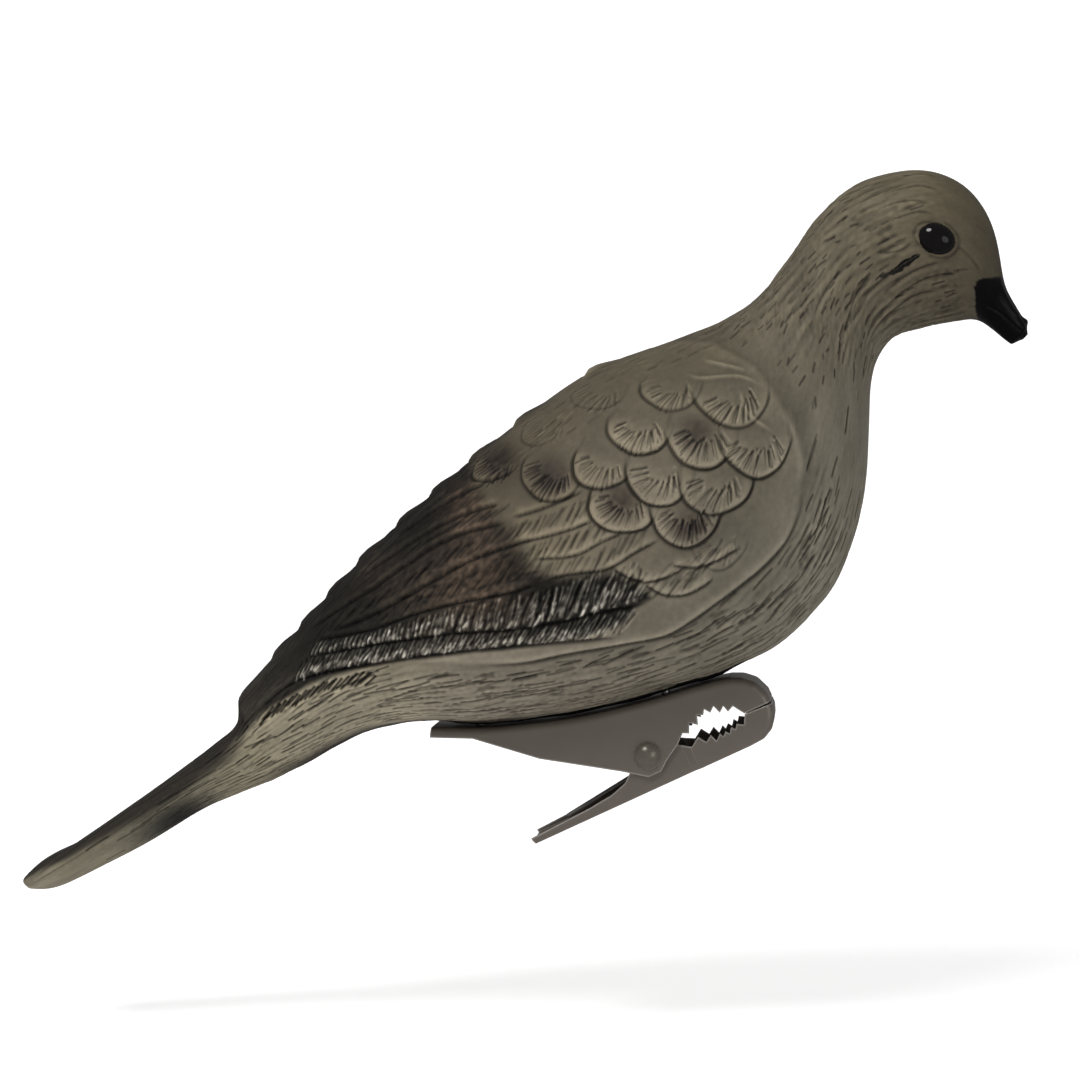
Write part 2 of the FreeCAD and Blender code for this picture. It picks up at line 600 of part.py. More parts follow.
for item in doc.Objects:
    if {"Invalid", "Error"} & set(item.State):
        raise RuntimeError(f"{item.Name} failed: {item.State}")
os.makedirs("parts", exist_ok=True)
for node in nodes:
    shape = node.Shape
    if shape.isNull() or not shape.isValid():
        raise RuntimeError(f"{node.Label} has no valid shape")
    shape.exportStep(f"parts/{node.Label}.step")
    print(f"{node.Label}: {shape.Volume:.0f} mm3, {len(shape.Solids)} solid")
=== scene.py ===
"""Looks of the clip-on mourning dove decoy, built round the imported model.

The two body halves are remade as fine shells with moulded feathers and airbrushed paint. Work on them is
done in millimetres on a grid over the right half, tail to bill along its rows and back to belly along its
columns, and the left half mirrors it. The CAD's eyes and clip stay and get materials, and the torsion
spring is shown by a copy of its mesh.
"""

import math

import bpy
import numpy as np
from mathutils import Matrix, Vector
from mathutils.bvhtree import BVHTree


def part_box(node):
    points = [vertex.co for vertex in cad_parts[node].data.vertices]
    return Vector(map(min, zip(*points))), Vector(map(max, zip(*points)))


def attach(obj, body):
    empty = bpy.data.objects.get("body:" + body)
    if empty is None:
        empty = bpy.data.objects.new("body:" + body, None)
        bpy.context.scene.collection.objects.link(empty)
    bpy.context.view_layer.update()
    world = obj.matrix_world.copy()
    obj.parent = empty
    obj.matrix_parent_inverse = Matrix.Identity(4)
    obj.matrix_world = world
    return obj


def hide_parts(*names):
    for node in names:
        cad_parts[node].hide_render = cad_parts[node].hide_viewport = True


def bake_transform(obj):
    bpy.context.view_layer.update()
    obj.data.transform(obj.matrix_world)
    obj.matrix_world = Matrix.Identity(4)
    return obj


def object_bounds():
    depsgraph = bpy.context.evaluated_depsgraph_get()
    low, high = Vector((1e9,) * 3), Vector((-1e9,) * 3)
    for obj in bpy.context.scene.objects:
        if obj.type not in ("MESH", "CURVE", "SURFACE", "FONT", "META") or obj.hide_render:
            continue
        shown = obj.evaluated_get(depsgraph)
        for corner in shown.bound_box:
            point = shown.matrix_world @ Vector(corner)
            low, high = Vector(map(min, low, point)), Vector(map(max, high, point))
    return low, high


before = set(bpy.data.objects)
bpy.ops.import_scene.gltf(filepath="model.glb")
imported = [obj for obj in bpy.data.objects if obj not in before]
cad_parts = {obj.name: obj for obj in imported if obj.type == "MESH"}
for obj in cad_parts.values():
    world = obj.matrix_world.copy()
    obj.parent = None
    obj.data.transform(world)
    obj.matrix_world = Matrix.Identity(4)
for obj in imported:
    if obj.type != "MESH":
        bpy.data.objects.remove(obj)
cad_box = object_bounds()

MM = 0.001
RANDOM = np.random.default_rng(11)
ROWS, COLUMNS = 960, 340            # the finished skin's grid
CAST_ROWS, CAST_COLUMNS = 300, 96   # the coarser grid of rays that find the CAD skin
SEAM_GAP = 0.05     # how far to the right of the seam the rays end, so that they miss nothing there
RAY_START = 60      # how far out to the side the rays that find the body's width start
NARROWEST, USUAL_WIDTH = 1.5, 15.5  # a width found below the first is taken to be the second
RELIEF_ROOM = 0.4   # how far the bare skin lies inside the CAD skin, so that relief stays in its box
WALL = 2.2          # thickness of the shells
TIP_ROWS = 9        # rows over which the bill's tip is rounded
TIP_REACH = 1.3     # millimetres by which the tip is drawn out first
FOLD_STEP = 0.3     # millimetres between samples along a fold
DEEPEST, HIGHEST = -0.9, 0.95       # limits of the relief
# A ray that lands this much deeper than its neighbours in nearby rows has gone down a hole in the CAD skin:
# the eye's socket or a screw's bore. There are none behind HOLES_FROM, where the wing tip makes a step.
HOLE_DEPTH, HOLE_ROWS, HOLES_FROM = 1.0, 11, -100

# Lines that cut the body into sections, tail to bill: (x, z) on the back, then (x, z) on the belly.
SECTION_LINES = [
    (-182.2, -43.9, -180.3, -46.4), (-176.7, -39.2, -172.9, -46.1), (-159.6, -27.4, -151.6, -34.3),
    (-142, -15, -132.1, -20.7), (-127.5, -3.5, -113.3, -14.2), (-124.6, 5.7, -108.1, -12),
    (-119, 12, -101.5, -9), (-106.7, 25.6, -90.3, -3.6), (-75.5, 57.2, -58.2, -0.6),
    (-32.1, 90.9, -16.4, 7.2), (1.3, 103.6, 18.6, 21.5), (15.3, 115.1, 38.5, 57.7),
    (24.1, 127.8, 40.3, 88.4), (37.1, 139, 47.1, 99.6), (55.9, 141.3, 58.5, 102.3),
    (69.8, 129.2, 65.6, 103.2), (73.4, 112.7, 69.9, 100.9), (79.7, 101.9, 75.8, 97.5),
]


# ---------------- small tools

def blurred(field, radius, axes=(0, 1), odd=False):
    """The field smoothed by a Gaussian of that many cells. Odd keeps the values on the borders."""
    half = int(3 * radius) + 1
    steps = np.arange(-half, half + 1)
    kernel = np.exp(-0.5 * (steps / radius) ** 2)
    kernel /= kernel.sum()
    for axis in axes:
        moved = np.moveaxis(field, axis, 0)
        edges = [(half, half)] + [(0, 0)] * (moved.ndim - 1)
        padded = np.pad(moved, edges, mode="reflect", reflect_type="odd" if odd else "even")
        moved = sum(weight * padded[k:k + len(moved)] for k, weight in enumerate(kernel))
        field = np.moveaxis(moved, 0, axis)
    return field


def resampled(values, count):
    """The values along axis 0 at count even places, by a cubic through the four nearest."""
    last = len(values) - 1
    places = np.linspace(0, last, count)
    i = np.clip(np.floor(places).astype(int), 0, last - 1)
    t = (places - i).reshape((-1,) + (1,) * (values.ndim - 1))
    a, b, c, d = (values[np.clip(i + k, 0, last)] for k in (-1, 0, 1, 2))
    return b + 0.5 * t * (c - a + t * (2 * a - 5 * b + 4 * c - d + t * (3 * b - a - 3 * c + d)))


def evenly(points, count):
    """count points at even distances along a line of straight runs."""
    points = np.asarray(points, float)
    reach = np.concatenate([[0], np.cumsum(np.linalg.norm(np.diff(points, axis=0), axis=1))])
    places = np.linspace(0, reach[-1], count)
    return np.stack([np.interp(places, reach, axis) for axis in points.T], axis=1)


def curve(points, step=0.5):
    """Points every step millimetres along a smooth curve through a few points."""
    fine = resampled(np.asarray(points, float), 24 * len(points))
    length = np.linalg.norm(np.diff(fine, axis=0), axis=1).sum()
    return evenly(fine, max(int(length / step), 2) + 1)


def unit(vectors):
    """The vectors along the last axis, made one long."""
    return vectors / np.maximum(np.linalg.norm(vectors, axis=-1, keepdims=True), 1e-9)


def soft_step(value, low, high):
    """0 below low, 1 above high, and a smooth rise between them."""
    share = np.clip((value - low) / (high - low), 0, 1)
    return share * share * (3 - 2 * share)


def bump(distance, width):
    """A smooth bump, 1 where the distance is 0."""
    return np.exp(-(distance / width) ** 2)


# ---------------- the bare skin of the right half

def section_line_rows():
    """The section lines, spread evenly from tail to bill and smoothed."""
    lines = np.array(SECTION_LINES)
    spread = evenly(lines, CAST_ROWS)
    return blurred(spread, 3.0, axes=(0,), odd=True)


def cast_skin():
    """The CAD skin at each row and column, by rays from just outside towards the middle of each section."""
    tree = BVHTree.FromObject(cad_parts["body_half_right"], bpy.context.evaluated_depsgraph_get())
    angles = np.linspace(0, math.pi, CAST_COLUMNS)
    skin = np.zeros((CAST_ROWS, CAST_COLUMNS, 3))
    reach = np.zeros((CAST_ROWS, CAST_COLUMNS))
    for r, (back_x, back_z, belly_x, belly_z) in enumerate(section_line_rows()):
        middle = np.array([(back_x + belly_x) / 2, -SEAM_GAP, (back_z + belly_z) / 2])
        up = np.array([back_x - belly_x, 0, back_z - belly_z]) / 2
        found = tree.ray_cast(Vector((middle + [0, -RAY_START, 0]) * MM), Vector((0, 1, 0)))[0]
        width = -found.y / MM if found is not None and found.y < -NARROWEST * MM else USUAL_WIDTH
        for c, angle in enumerate(angles):
            arm = up * math.cos(angle) + np.array([0, -width * math.sin(angle), 0])
            length = np.linalg.norm(arm)
            start = middle + arm * (1.2 + 5 / length)
            hit = tree.ray_cast(Vector(start * MM), Vector(-arm / length))[0]
            point = middle + arm if hit is None else np.array(hit) / MM
            reach[r, c] = 0 if hit is None else np.linalg.norm(point - middle)
            skin[r, c] = point
    usual = np.median([np.roll(reach, shift, axis=0) for shift in range(-HOLE_ROWS, HOLE_ROWS + 1)], axis=0)
    missing = (reach < usual - HOLE_DEPTH) & (skin[..., 0] > HOLES_FROM)
    return skin, missing | (reach == 0)


def filled(skin, missing):
    """The skin with its missing points, as over the eye's socket, filled smoothly from round about."""
    wide = missing.copy()
    for shift in (-1, 1):
        wide |= np.roll(missing, shift, axis=0) | np.roll(missing, shift, axis=1)
    inside = wide.copy()
    inside[[0, -1]] = False
    skin = skin.copy()
    for _ in range(250):
        around = np.roll(skin, 1, 0) + np.roll(skin, -1, 0)
        left, right = np.roll(skin, 1, 1), np.roll(skin, -1, 1)
        left[:, 0], right[:, -1] = skin[:, 1], skin[:, -2]
        skin[inside] = ((around + left + right) / 4)[inside]
    return skin


def smooth_skin(skin):
    """The skin with its columns spread evenly, smoothed, and made finer."""
    skin = np.stack([evenly(row, CAST_COLUMNS) for row in skin])
    skin[:, [0, -1], 1] = 0
    skin = blurred(skin, 1.6, axes=(0,), odd=True)
    across = blurred(skin[..., 1], 1.2, axes=(1,), odd=True)
    skin = blurred(skin, 1.2, axes=(1,))
    skin[..., 1] = across
    fine = resampled(skin, ROWS)
    fine = np.moveaxis(resampled(np.moveaxis(fine, 1, 0), COLUMNS), 0, 1)
    fine[:, [0, -1], 1] = 0
    return fine


def rounded_tip(skin):
    """The skin with the bill's last few millimetres drawn in to a blunt, rounded tip."""
    drawn = soft_step(np.arange(ROWS), ROWS - 3 * TIP_ROWS, ROWS - 1)[:, None, None]
    skin = skin + drawn * TIP_REACH * unit(skin[-1, 0] - skin[-2 * TIP_ROWS, 0])
    share = soft_step(np.arange(ROWS), ROWS - TIP_ROWS, ROWS - 1)
    scale = np.sqrt(1 - 0.84 * share ** 2)[:, None, None]
    upper = skin[:, :1] + 0.3 * (skin[:, -1:] - skin[:, :1])
    return upper + (skin - upper) * scale


def filled_tail(skin):
    """The skin with its tail filled out a little, under its root and on top of its end."""
    share = np.linspace(0, 1, COLUMNS)[None, :]
    under = 3.1 * bump(skin[..., 0] + 130, 22) * soft_step(share, 0.5, 1)
    top = 1.6 * soft_step(-skin[..., 0], 168, 178) * (1 - soft_step(share, 0.3, 0.8))
    skin = skin.copy()
    skin[..., 2] += top - under
    return skin


def outward(skin):
    """Unit normals of the grid, pointing out of the body."""
    normal = unit(np.cross(np.gradient(skin, axis=0), np.gradient(skin, axis=1)))
    if normal[ROWS // 2, COLUMNS // 2, 1] > 0:
        normal = -normal
    normal[:, [0, -1], 1] = 0
    return unit(normal)


skin_cast, skin_missing = cast_skin()
SKIN = filled_tail(rounded_tip(smooth_skin(filled(skin_cast, skin_missing))))
NORMAL = outward(SKIN)
SKIN = SKIN - NORMAL * RELIEF_ROOM
X, Y, Z = SKIN[..., 0], SKIN[..., 1], SKIN[..., 2]
ROW_STEP = np.linalg.norm(np.gradient(SKIN, axis=0), axis=2)
COLUMN_STEP = np.linalg.norm(np.gradient(SKIN, axis=1), axis=2)
rise = np.zeros((ROWS, COLUMNS))         # the relief's height over the bare skin
barb_marks = np.zeros((ROWS, COLUMNS))   # where the coverts' barbs are cut, 0 to 1
dark_marks = np.zeros((ROWS, COLUMNS))   # where a dash is painted dark, 0 to 1


# ---------------- marks on the skin

def nearest(x, z):
    """Grid place of the point of the right flank that a side view shows at (x, z)."""
    far = (X[::4, ::4] - x) ** 2 + (Z[::4, ::4] - z) ** 2
    r, c = (4 * k for k in np.unravel_index(far.argmin(), far.shape))
    rows, columns = slice(max(r - 5, 0), r + 6), slice(max(c - 5, 0), c + 6)
    far = (X[rows, columns] - x) ** 2 + (Z[rows, columns] - z) ** 2
    dr, dc = np.unravel_index(far.argmin(), far.shape)
    return rows.start + dr, columns.start + dc


def window(r, c, reach):
    """The rows and columns within reach millimetres of a grid place."""
    rows = int(reach / max(ROW_STEP[r, c], 0.12)) + 2
    columns = int(reach / max(COLUMN_STEP[r, c], 0.12)) + 2
    return slice(max(r - rows, 0), r + rows + 1), slice(max(c - columns, 0), c + columns + 1)


def local(place, turn, reach):
    """A window round a grid place, with each point's distance along and across a direction. The direction
    is an angle in the side view, anticlockwise from +X."""
    area = window(*place, reach)
    heading = np.array([math.cos(turn), 0, math.sin(turn)])
    heading = unit(heading - heading.dot(NORMAL[place]) * NORMAL[place])
    side = np.cross(NORMAL[place], heading)
    apart = SKIN[area] - SKIN[place]
    return area, apart @ heading, apart @ side


def near_line(points, reach):
    """Signed distance from a smooth line on the flank, positive on its left going along it, and the share
    of the way along it. Points further off than reach have that distance."""
    places = [nearest(x, z) for x, z in curve(points)]
    spots = blurred(np.array([SKIN[place] for place in places]), 2.5, axes=(0,), odd=True)
    ways = unit(np.gradient(spots, axis=0))
    far, signed, share = (np.full((ROWS, COLUMNS), value) for value in (reach, reach, 0.0))
    for k, (place, spot, way) in enumerate(zip(places, spots, ways)):
        area = window(*place, reach)
        apart = SKIN[area] - spot
        distance = np.linalg.norm(apart, axis=2)
        closer = distance < far[area]
        left = np.cross(NORMAL[place], way)
        side = np.where(apart @ left >= 0, 1.0, -1.0)
        far[area] = np.where(closer, distance, far[area])
        signed[area] = np.where(closer, distance * side, signed[area])
        share[area] = np.where(closer, k / len(places), share[area])
    return signed, share


def inside(corners):
    """Signed distance in the side view from a closed outline, positive inside it."""
    corners = np.asarray(corners, float)
    far = np.full((ROWS, COLUMNS), 1e9)
    within = np.zeros((ROWS, COLUMNS), bool)
    for (x1, z1), (x2, z2) in zip(corners, np.roll(corners, -1, axis=0)):
        run = (x2 - x1) ** 2 + (z2 - z1) ** 2
        share = np.clip(((X - x1) * (x2 - x1) + (Z - z1) * (z2 - z1)) / run, 0, 1)
        far = np.minimum(far, np.hypot(X - x1 - share * (x2 - x1), Z - z1 - share * (z2 - z1)))
        if z1 != z2:
            within ^= ((z1 > Z) != (z2 > Z)) & (X < (x2 - x1) * (Z - z1) / (z2 - z1) + x1)
    return np.where(within, far, -far)


def nearness(x, z, spread):
    """A Gaussian round (x, z) in the side view, never quite zero."""
    return np.exp(-((X - x) ** 2 + (Z - z) ** 2) / (2 * spread ** 2)) + 1e-12


def groove(points, width=0.55, depth=0.45, lip=0.0, lip_width=3.0, fade=0.12):
    """A moulded groove along a line. A lip raises the side on the line's left, or with a negative value
    the side on its right, and sinks away from the groove."""
    signed, share = near_line(points, 3 * lip_width if lip else 3 * width)
    ends = soft_step(share, 0, fade) * soft_step(1 - share, 0, fade)
    near = np.abs(signed)
    side = np.sign(signed) * np.sign(lip) if lip else 0
    rise[...] += ends * (np.abs(lip) * bump(near, lip_width) * (side > 0) - depth * bump(near, width))


def stroke(place, turn, length, width, depth, bend=0.0, marks=None, tone=1.0):
    """One incised dash, or a raised one where depth is negative. Bend is its curvature, per millimetre.
    With marks, a field, the dash is entered there too, with that tone."""
    area, along, across = local(place, turn, length / 2 + 3 * width)
    past = np.maximum(np.abs(along) - length / 2 + width, 0)
    mark = np.exp(-(past / width) ** 2 - ((across - bend * along ** 2) / width) ** 2)
    rise[area] -= depth * mark
    if marks is not None:
        marks[area] = np.maximum(marks[area], tone * mark)


def flow(anchors, x, z, spread):
    """A direction between given ones: anchors are (x, z, degrees in the side view)."""
    anchors = np.array(anchors, float)
    weights = np.exp(-((anchors[:, 0] - x) ** 2 + (anchors[:, 1] - z) ** 2) / (2 * spread ** 2)) + 1e-12
    turns = np.radians(anchors[:, 2])
    return math.atan2((weights * np.sin(turns)).sum(), (weights * np.cos(turns)).sum())


def grid_steps(anchors, spread):
    """Rows and columns to move for each millimetre along the flow, at every grid place."""
    heading = np.zeros((ROWS, COLUMNS, 3))
    for x, z, degrees in anchors:
        turn = math.radians(degrees)
        heading += nearness(x, z, spread)[..., None] * np.array([math.cos(turn), 0, math.sin(turn)])
    heading = unit(heading)
    heading = unit(heading - (heading * NORMAL).sum(axis=2, keepdims=True) * NORMAL)
    down, side = np.gradient(SKIN, axis=0), np.gradient(SKIN, axis=1)
    dd, ds, ss = (down * down).sum(2), (down * side).sum(2), (side * side).sum(2)
    dh, sh = (down * heading).sum(2), (side * heading).sum(2)
    scale = np.maximum(dd * ss - ds * ds, 1e-6)
    return np.clip((ss * dh - ds * sh) / scale, -8, 8), np.clip((dd * sh - ds * dh) / scale, -8, 8)


def folds(anchors, spread, length, fine_rows, fine_columns):
    """Wavy ridges and grooves along the flow: noise drawn out along it for length millimetres."""
    noise_field = RANDOM.standard_normal((ROWS, COLUMNS))
    fine = blurred(blurred(noise_field, fine_rows, axes=(0,)), fine_columns, axes=(1,))
    wide = blurred(blurred(noise_field, 2 * fine_rows, axes=(0,)), 2 * fine_columns, axes=(1,))
    source = fine / fine.std() - wide / wide.std()
    row_steps, column_steps = grid_steps(anchors, spread)
    total = source.copy()
    for way in (-FOLD_STEP, FOLD_STEP):
        rows, columns = np.mgrid[0:ROWS, 0:COLUMNS].astype(float)
        for _ in range(int(length / 2 / FOLD_STEP)):
            i = np.clip(np.rint(rows), 0, ROWS - 1).astype(int)
            j = np.clip(np.rint(columns), 0, COLUMNS - 1).astype(int)
            total += source[i, j]
            rows += way * row_steps[i, j]
            columns += way * column_steps[i, j]
    total = blurred(total, 0.7)
    return np.clip(total / total.std(), -2.2, 2.2)


# ---------------- the wing

# The wing's front and lower edge, (x, z) from the shoulder back, and its whole outline.
WING_EDGE = [
    (22.5, 63), (22.6, 57), (21, 52.8), (18.6, 47.8), (12.6, 41.3), (3.6, 34.2), (-6.5, 26.9),
    (-11.6, 24.3), (-19.1, 22.8), (-34.3, 20.2), (-46.9, 17.6), (-60, 17.2),
]
WING_OUTLINE = [
    (-124.7, 5.5), (-119.5, 2), (-108, 9.3), (-95.6, 15), (-84.8, 16.9), (-73, 18),
    *WING_EDGE[:1:-1], (22.8, 60.4), (22.8, 67.9), (21.0, 76.0), (17.0, 84.0), (11.0, 92.0), (0.0, 98.0),
    (-13, 99), (-32, 92), (-60, 72), (-90, 45), (-120, 14),
]
# Rounded coverts, rear and lower ones first, because each lies over those behind it: (x, z, radius,
# how strongly it stands out, degrees that it leans).
COVERTS = [
    (-53.5, 68.4, 7.6, 0.8, -14), (-38.6, 66.2, 8.3, 0.8, -12), (-20.9, 59, 8.2, 1.1, -6),
    (-5.6, 56.2, 8.4, 1.1, 4), (-26.2, 68.4, 7.3, 1, -8), (-12.1, 66, 8.1, 1.1, -2),
    (1.5, 64.2, 8.9, 1, 6), (-41, 78, 7.6, 0.3, -14), (-17, 77.4, 8, 1, 2),
    (-1.8, 75.4, 8.6, 1, 4), (11.3, 73.4, 8.9, 1, 10), (-27.5, 86.5, 7.6, 0.3, -6),
    (-9.5, 87, 7.6, 0.7, 8), (5.5, 85, 9, 0.8, 10), (2.5, 49, 7, 0.35, 10),
]
COVERT_DOWN = math.radians(262)   # the way an upright covert points
# Dark spots on the coverts, (x, z, radius, strength).
SPOTS = [
    (-3.5, 75, 4.2, 0.75), (-21.6, 58.4, 4.6, 0.72), (-4.2, 52.6, 5.2, 0.72), (-39.2, 63.8, 5.4, 0.80),
    (-53.5, 67.5, 5.6, 0.95),
]
# The outline of the dark rear of the wing, (x, z), and the browner patches in it, (x, z, size, strength).
DARK_WING = [
    (-61, 68.5), (-58.5, 62.5), (-56, 58.8), (-50.3, 53.1), (-46.5, 48.6), (-43, 41.5), (-36.2, 40.1),
    (-26.2, 41.4), (-22.5, 41.2), (-17.5, 38.4), (-14, 34.6), (-17.8, 32.4), (-20.5, 28.5), (-30, 24.4),
    (-44, 22.6), (-60.6, 20.6), (-73.1, 18.8), (-84.8, 16.5), (-95.6, 13.2), (-102, 10.6),
    (-108.9, 6.5), (-114.7, 2.7), (-122.7, -4.8), (-133, -13), (-138, -5), (-127, 12),
    (-80, 66),
]
BROWN_PATCHES = [
    (-60, 56, 5, 0.85), (-55, 46, 5, 0.5), (-72, 35, 6, 0.4), (-57, 38, 7.5, 0.9), (-86, 40, 6, 0.25),
]
# Lines between the long dark feathers, (x, z) along each, front end first.
LONG_FEATHER_LINES = [
    [(-49.2, 53), (-60.4, 50.4), (-68, 47), (-73.9, 43.3), (-86, 35), (-94.5, 29.8),
     (-102, 24.6)],
    [(-42, 49.5), (-46, 48.2), (-60.4, 42.9), (-71.9, 36.1), (-84.7, 29.2), (-96, 24.6)],
    [(-41.3, 38.3), (-50, 35.5), (-62.9, 32.8), (-74.5, 29.5), (-84.6, 25.7), (-99.3, 22.4)],
    [(-14, 34.8), (-17.8, 32.8), (-26.3, 31.2), (-36.9, 28.5), (-50.1, 26.4), (-63, 25.4), (-76.1, 23.3),
     (-86.8, 21.5), (-101.9, 18.2)],
    [(-21.5, 24.9), (-41.6, 23), (-60.6, 21), (-73.1, 19.2), (-84.8, 16.9), (-95.6, 15),
     (-106.3, 11.4), (-116, 4)],
    [(-56, 62.5), (-66, 57.6), (-78, 49.5)],
    [(-51.5, 57.6), (-62, 54.4), (-74, 48), (-88, 38.5)],
    [(-66, 60.5), (-78, 49.5), (-90, 37.5)],
]
# The same between the light feathers above them.
LIGHT_FEATHER_LINES = [
    [(-30.4, 61.2), (-35, 59), (-41.5, 56.3), (-48, 54.4)],
    [(-27.7, 54), (-34, 51.4), (-41.4, 49.3), (-46.5, 48.2)],
    [(-20.2, 50.8), (-25.7, 48.8), (-31.2, 45.6), (-36, 44.6), (-42.5, 44.2)],
    [(-11.7, 49.3), (-18.7, 45.5), (-23.2, 42.4), (-26.2, 41.4), (-36.2, 40.1), (-41.3, 38.3)],
    [(-5.3, 42.4), (-11, 39.6), (-16.2, 38.6), (-20.5, 40.2), (-23.7, 42.4)],
    [(1.5, 39.8), (-3, 36.6), (-7.3, 35.2), (-12.3, 35.8), (-15.7, 38.2)],
    [(8, 47.5), (2, 44), (-3, 42.2), (-9, 43)],
]
# Thin raised lines on the shoulder, (x, z) along each.
SHOULDER_LINES = [
    [(-7, 90.5), (-3.3, 88.5), (6.8, 89), (13.3, 86.4)],
    [(7.3, 86.9), (8.4, 81.4), (11.5, 77.9), (15.9, 75.4)],
    [(-2.5, 93), (4, 91.6), (9, 90.4)],
    [(15, 74.8), (16.2, 70), (16.4, 65.5)],
]
# Steps that the tips of the back's feathers make along the back, (x, z).
BACK_STEPS = [
    (-32, 90), (-50.1, 77), (-61.8, 66.8), (-71.8, 58.2), (-80.3, 50), (-90.6, 40.6), (-98.5, 32),
    (-105.5, 24), (-113, 16.8),
]


def wing_plate():
    """The wing stands a little proud of the flank, with a groove along its lower and front edge."""
    depth = inside(WING_OUTLINE)
    flank = soft_step(-Y, 2, 10)
    rise[...] += 0.28 * flank * soft_step(depth, -0.6, 1.4)
    rise[...] -= 0.22 * flank * bump(depth + 2.6, 3.2)
    groove(WING_EDGE, width=0.65, depth=0.5, lip=-0.25, lip_width=2.5, fade=0.2)
    groove([(18.0, 82.5), (20.8, 75.4), (22.6, 67.9), (22.6, 61.0)], width=1.1, depth=-0.25, fade=0.3)


def covert(x, z, radius, strength, lean):
    """One rounded covert laid over what is there: domed, with a step down at its lower edge."""
    area, along, across = local(nearest(x, z), COVERT_DOWN + math.radians(lean), 1.45 * radius)
    power = RANDOM.uniform(1.75, 2.2)
    below = np.maximum(along, 0.55 * along)
    reach = (np.abs(across) ** power + np.abs(below) ** power) ** (1 / power)
    round_it = np.arctan2(across, along)
    wave = 0.34 * np.sin(3 * round_it + RANDOM.uniform(0, 6))
    wave = wave + 0.06 * np.sin(7 * round_it + RANDOM.uniform(0, 6))
    edge = radius - reach + wave
    cover = strength * soft_step(edge, -0.3, 0.3) * soft_step(along, -0.75 * radius, 0.1 * radius)
    cover = np.minimum(cover, 1)
    dome = 0.2 + 0.8 * soft_step(along, -0.6 * radius, 0.95 * radius) - 0.2 * bump(edge, 0.8)
    rise[area] = rise[area] * (1 - cover) + (0.3 * rise[area] + strength * dome) * cover
    lower = soft_step(along, -0.35 * radius, 0.35 * radius)
    lower = lower * (0.75 + 0.25 * np.sin(2 * round_it + RANDOM.uniform(0, 6)))
    rise[area] -= 0.6 * strength * bump(edge + 0.4, 0.36) * lower


def covert_barbs(x, z, radius, strength, lean):
    """Barbs that run down to the covert's lower edge, each a groove with a ridge beside it."""
    down = COVERT_DOWN + math.radians(lean)
    slope = RANDOM.uniform(-26, -8)
    for fan in np.arange(-80, 81, 62 / radius):
        turn = down + math.radians(fan + RANDOM.uniform(-2, 2))
        if RANDOM.random() < 0.08:
            continue
        far = radius * RANDOM.uniform(0.56, 0.70)
        slant = down + math.radians(0.6 * fan + slope)
        length = radius * RANDOM.uniform(0.5, 0.86) * (1 - 0.35 * abs(fan) / 80)
        bend = RANDOM.uniform(-0.03, 0.03)
        depth = min(strength, 1) * RANDOM.uniform(0.24, 0.50)
        for shift, share, marks in ((0, 1, barb_marks), (0.5 / far, -0.6, None)):
            place = nearest(x + far * math.cos(turn + shift), z + far * math.sin(turn + shift))
            stroke(place, slant, length, 0.3, share * depth, bend, marks)


def dry_barb(light, top, low, lean, bend):
    """A long faint barb with dry paint on it, and short brighter touches near its lower end."""
    gap = math.hypot(*(low - top))
    place = nearest(*(top + (low - top) * RANDOM.uniform(0.42, 0.55)))
    stroke(place, lean, gap * RANDOM.uniform(0.6, 0.9), 0.3, -0.16, bend, light, RANDOM.uniform(0.15, 0.5))
    for _ in range(2):
        x, z = top + (low - top) * RANDOM.uniform(0.45, 0.88)
        place = nearest(x + RANDOM.uniform(-0.3, 0.3), z)
        turn = lean + RANDOM.uniform(-0.25, 0.25)
        length, width = gap * RANDOM.uniform(0.18, 0.42), RANDOM.uniform(0.26, 0.42)
        stroke(place, turn, length, width, -0.08, 0.0, light, RANDOM.uniform(0.3, 0.95))


def barbs_between(upper, lower, spacing, slant, depth, light=None):
    """Slanted barbs from one feather line down to the next. With light they are dry-brushed."""
    top, low = curve(upper, spacing), curve(lower, spacing)
    count = min(len(top), len(low))
    top, low = evenly(top, count), evenly(low, count)
    for start, end in zip(top, low):
        lean = math.radians(slant + RANDOM.uniform(-7, 7))
        place = nearest(*(start + (end - start) * RANDOM.uniform(0.45, 0.62)))
        length = math.hypot(*(end - start)) * RANDOM.uniform(0.6, 0.95)
        bend = RANDOM.uniform(-0.03, 0.03)
        stroke(place, lean, length, 0.36, depth * RANDOM.uniform(0.5, 1.1), bend)
        if light is not None:
            dry_barb(light, start + (spacing / 2, 0), end + (spacing / 2, 0), lean, bend)


def back_feathers():
    """Low steps at the feather tips along the back, which show as notches in its outline."""
    for x, z in BACK_STEPS:
        r = nearest(x, z)[0]
        tangent = SKIN[min(r + 3, ROWS - 1), 0] - SKIN[max(r - 3, 0), 0]
        turn = math.atan2(tangent[2], tangent[0])
        area, along, across = local((r, 0), turn, 17)
        sweep = along + 0.05 * (np.abs(across) - 3.5) ** 2
        tip = soft_step(sweep, -0.3, 0.4) * (1 - soft_step(sweep, 0.6, 9.5))
        side = 1 - soft_step(np.abs(across), 4.0, 12.0)
        rise[area] += 1.1 * tip * side
        rise[area] -= 0.6 * bump(sweep + 0.7, 0.8) * side


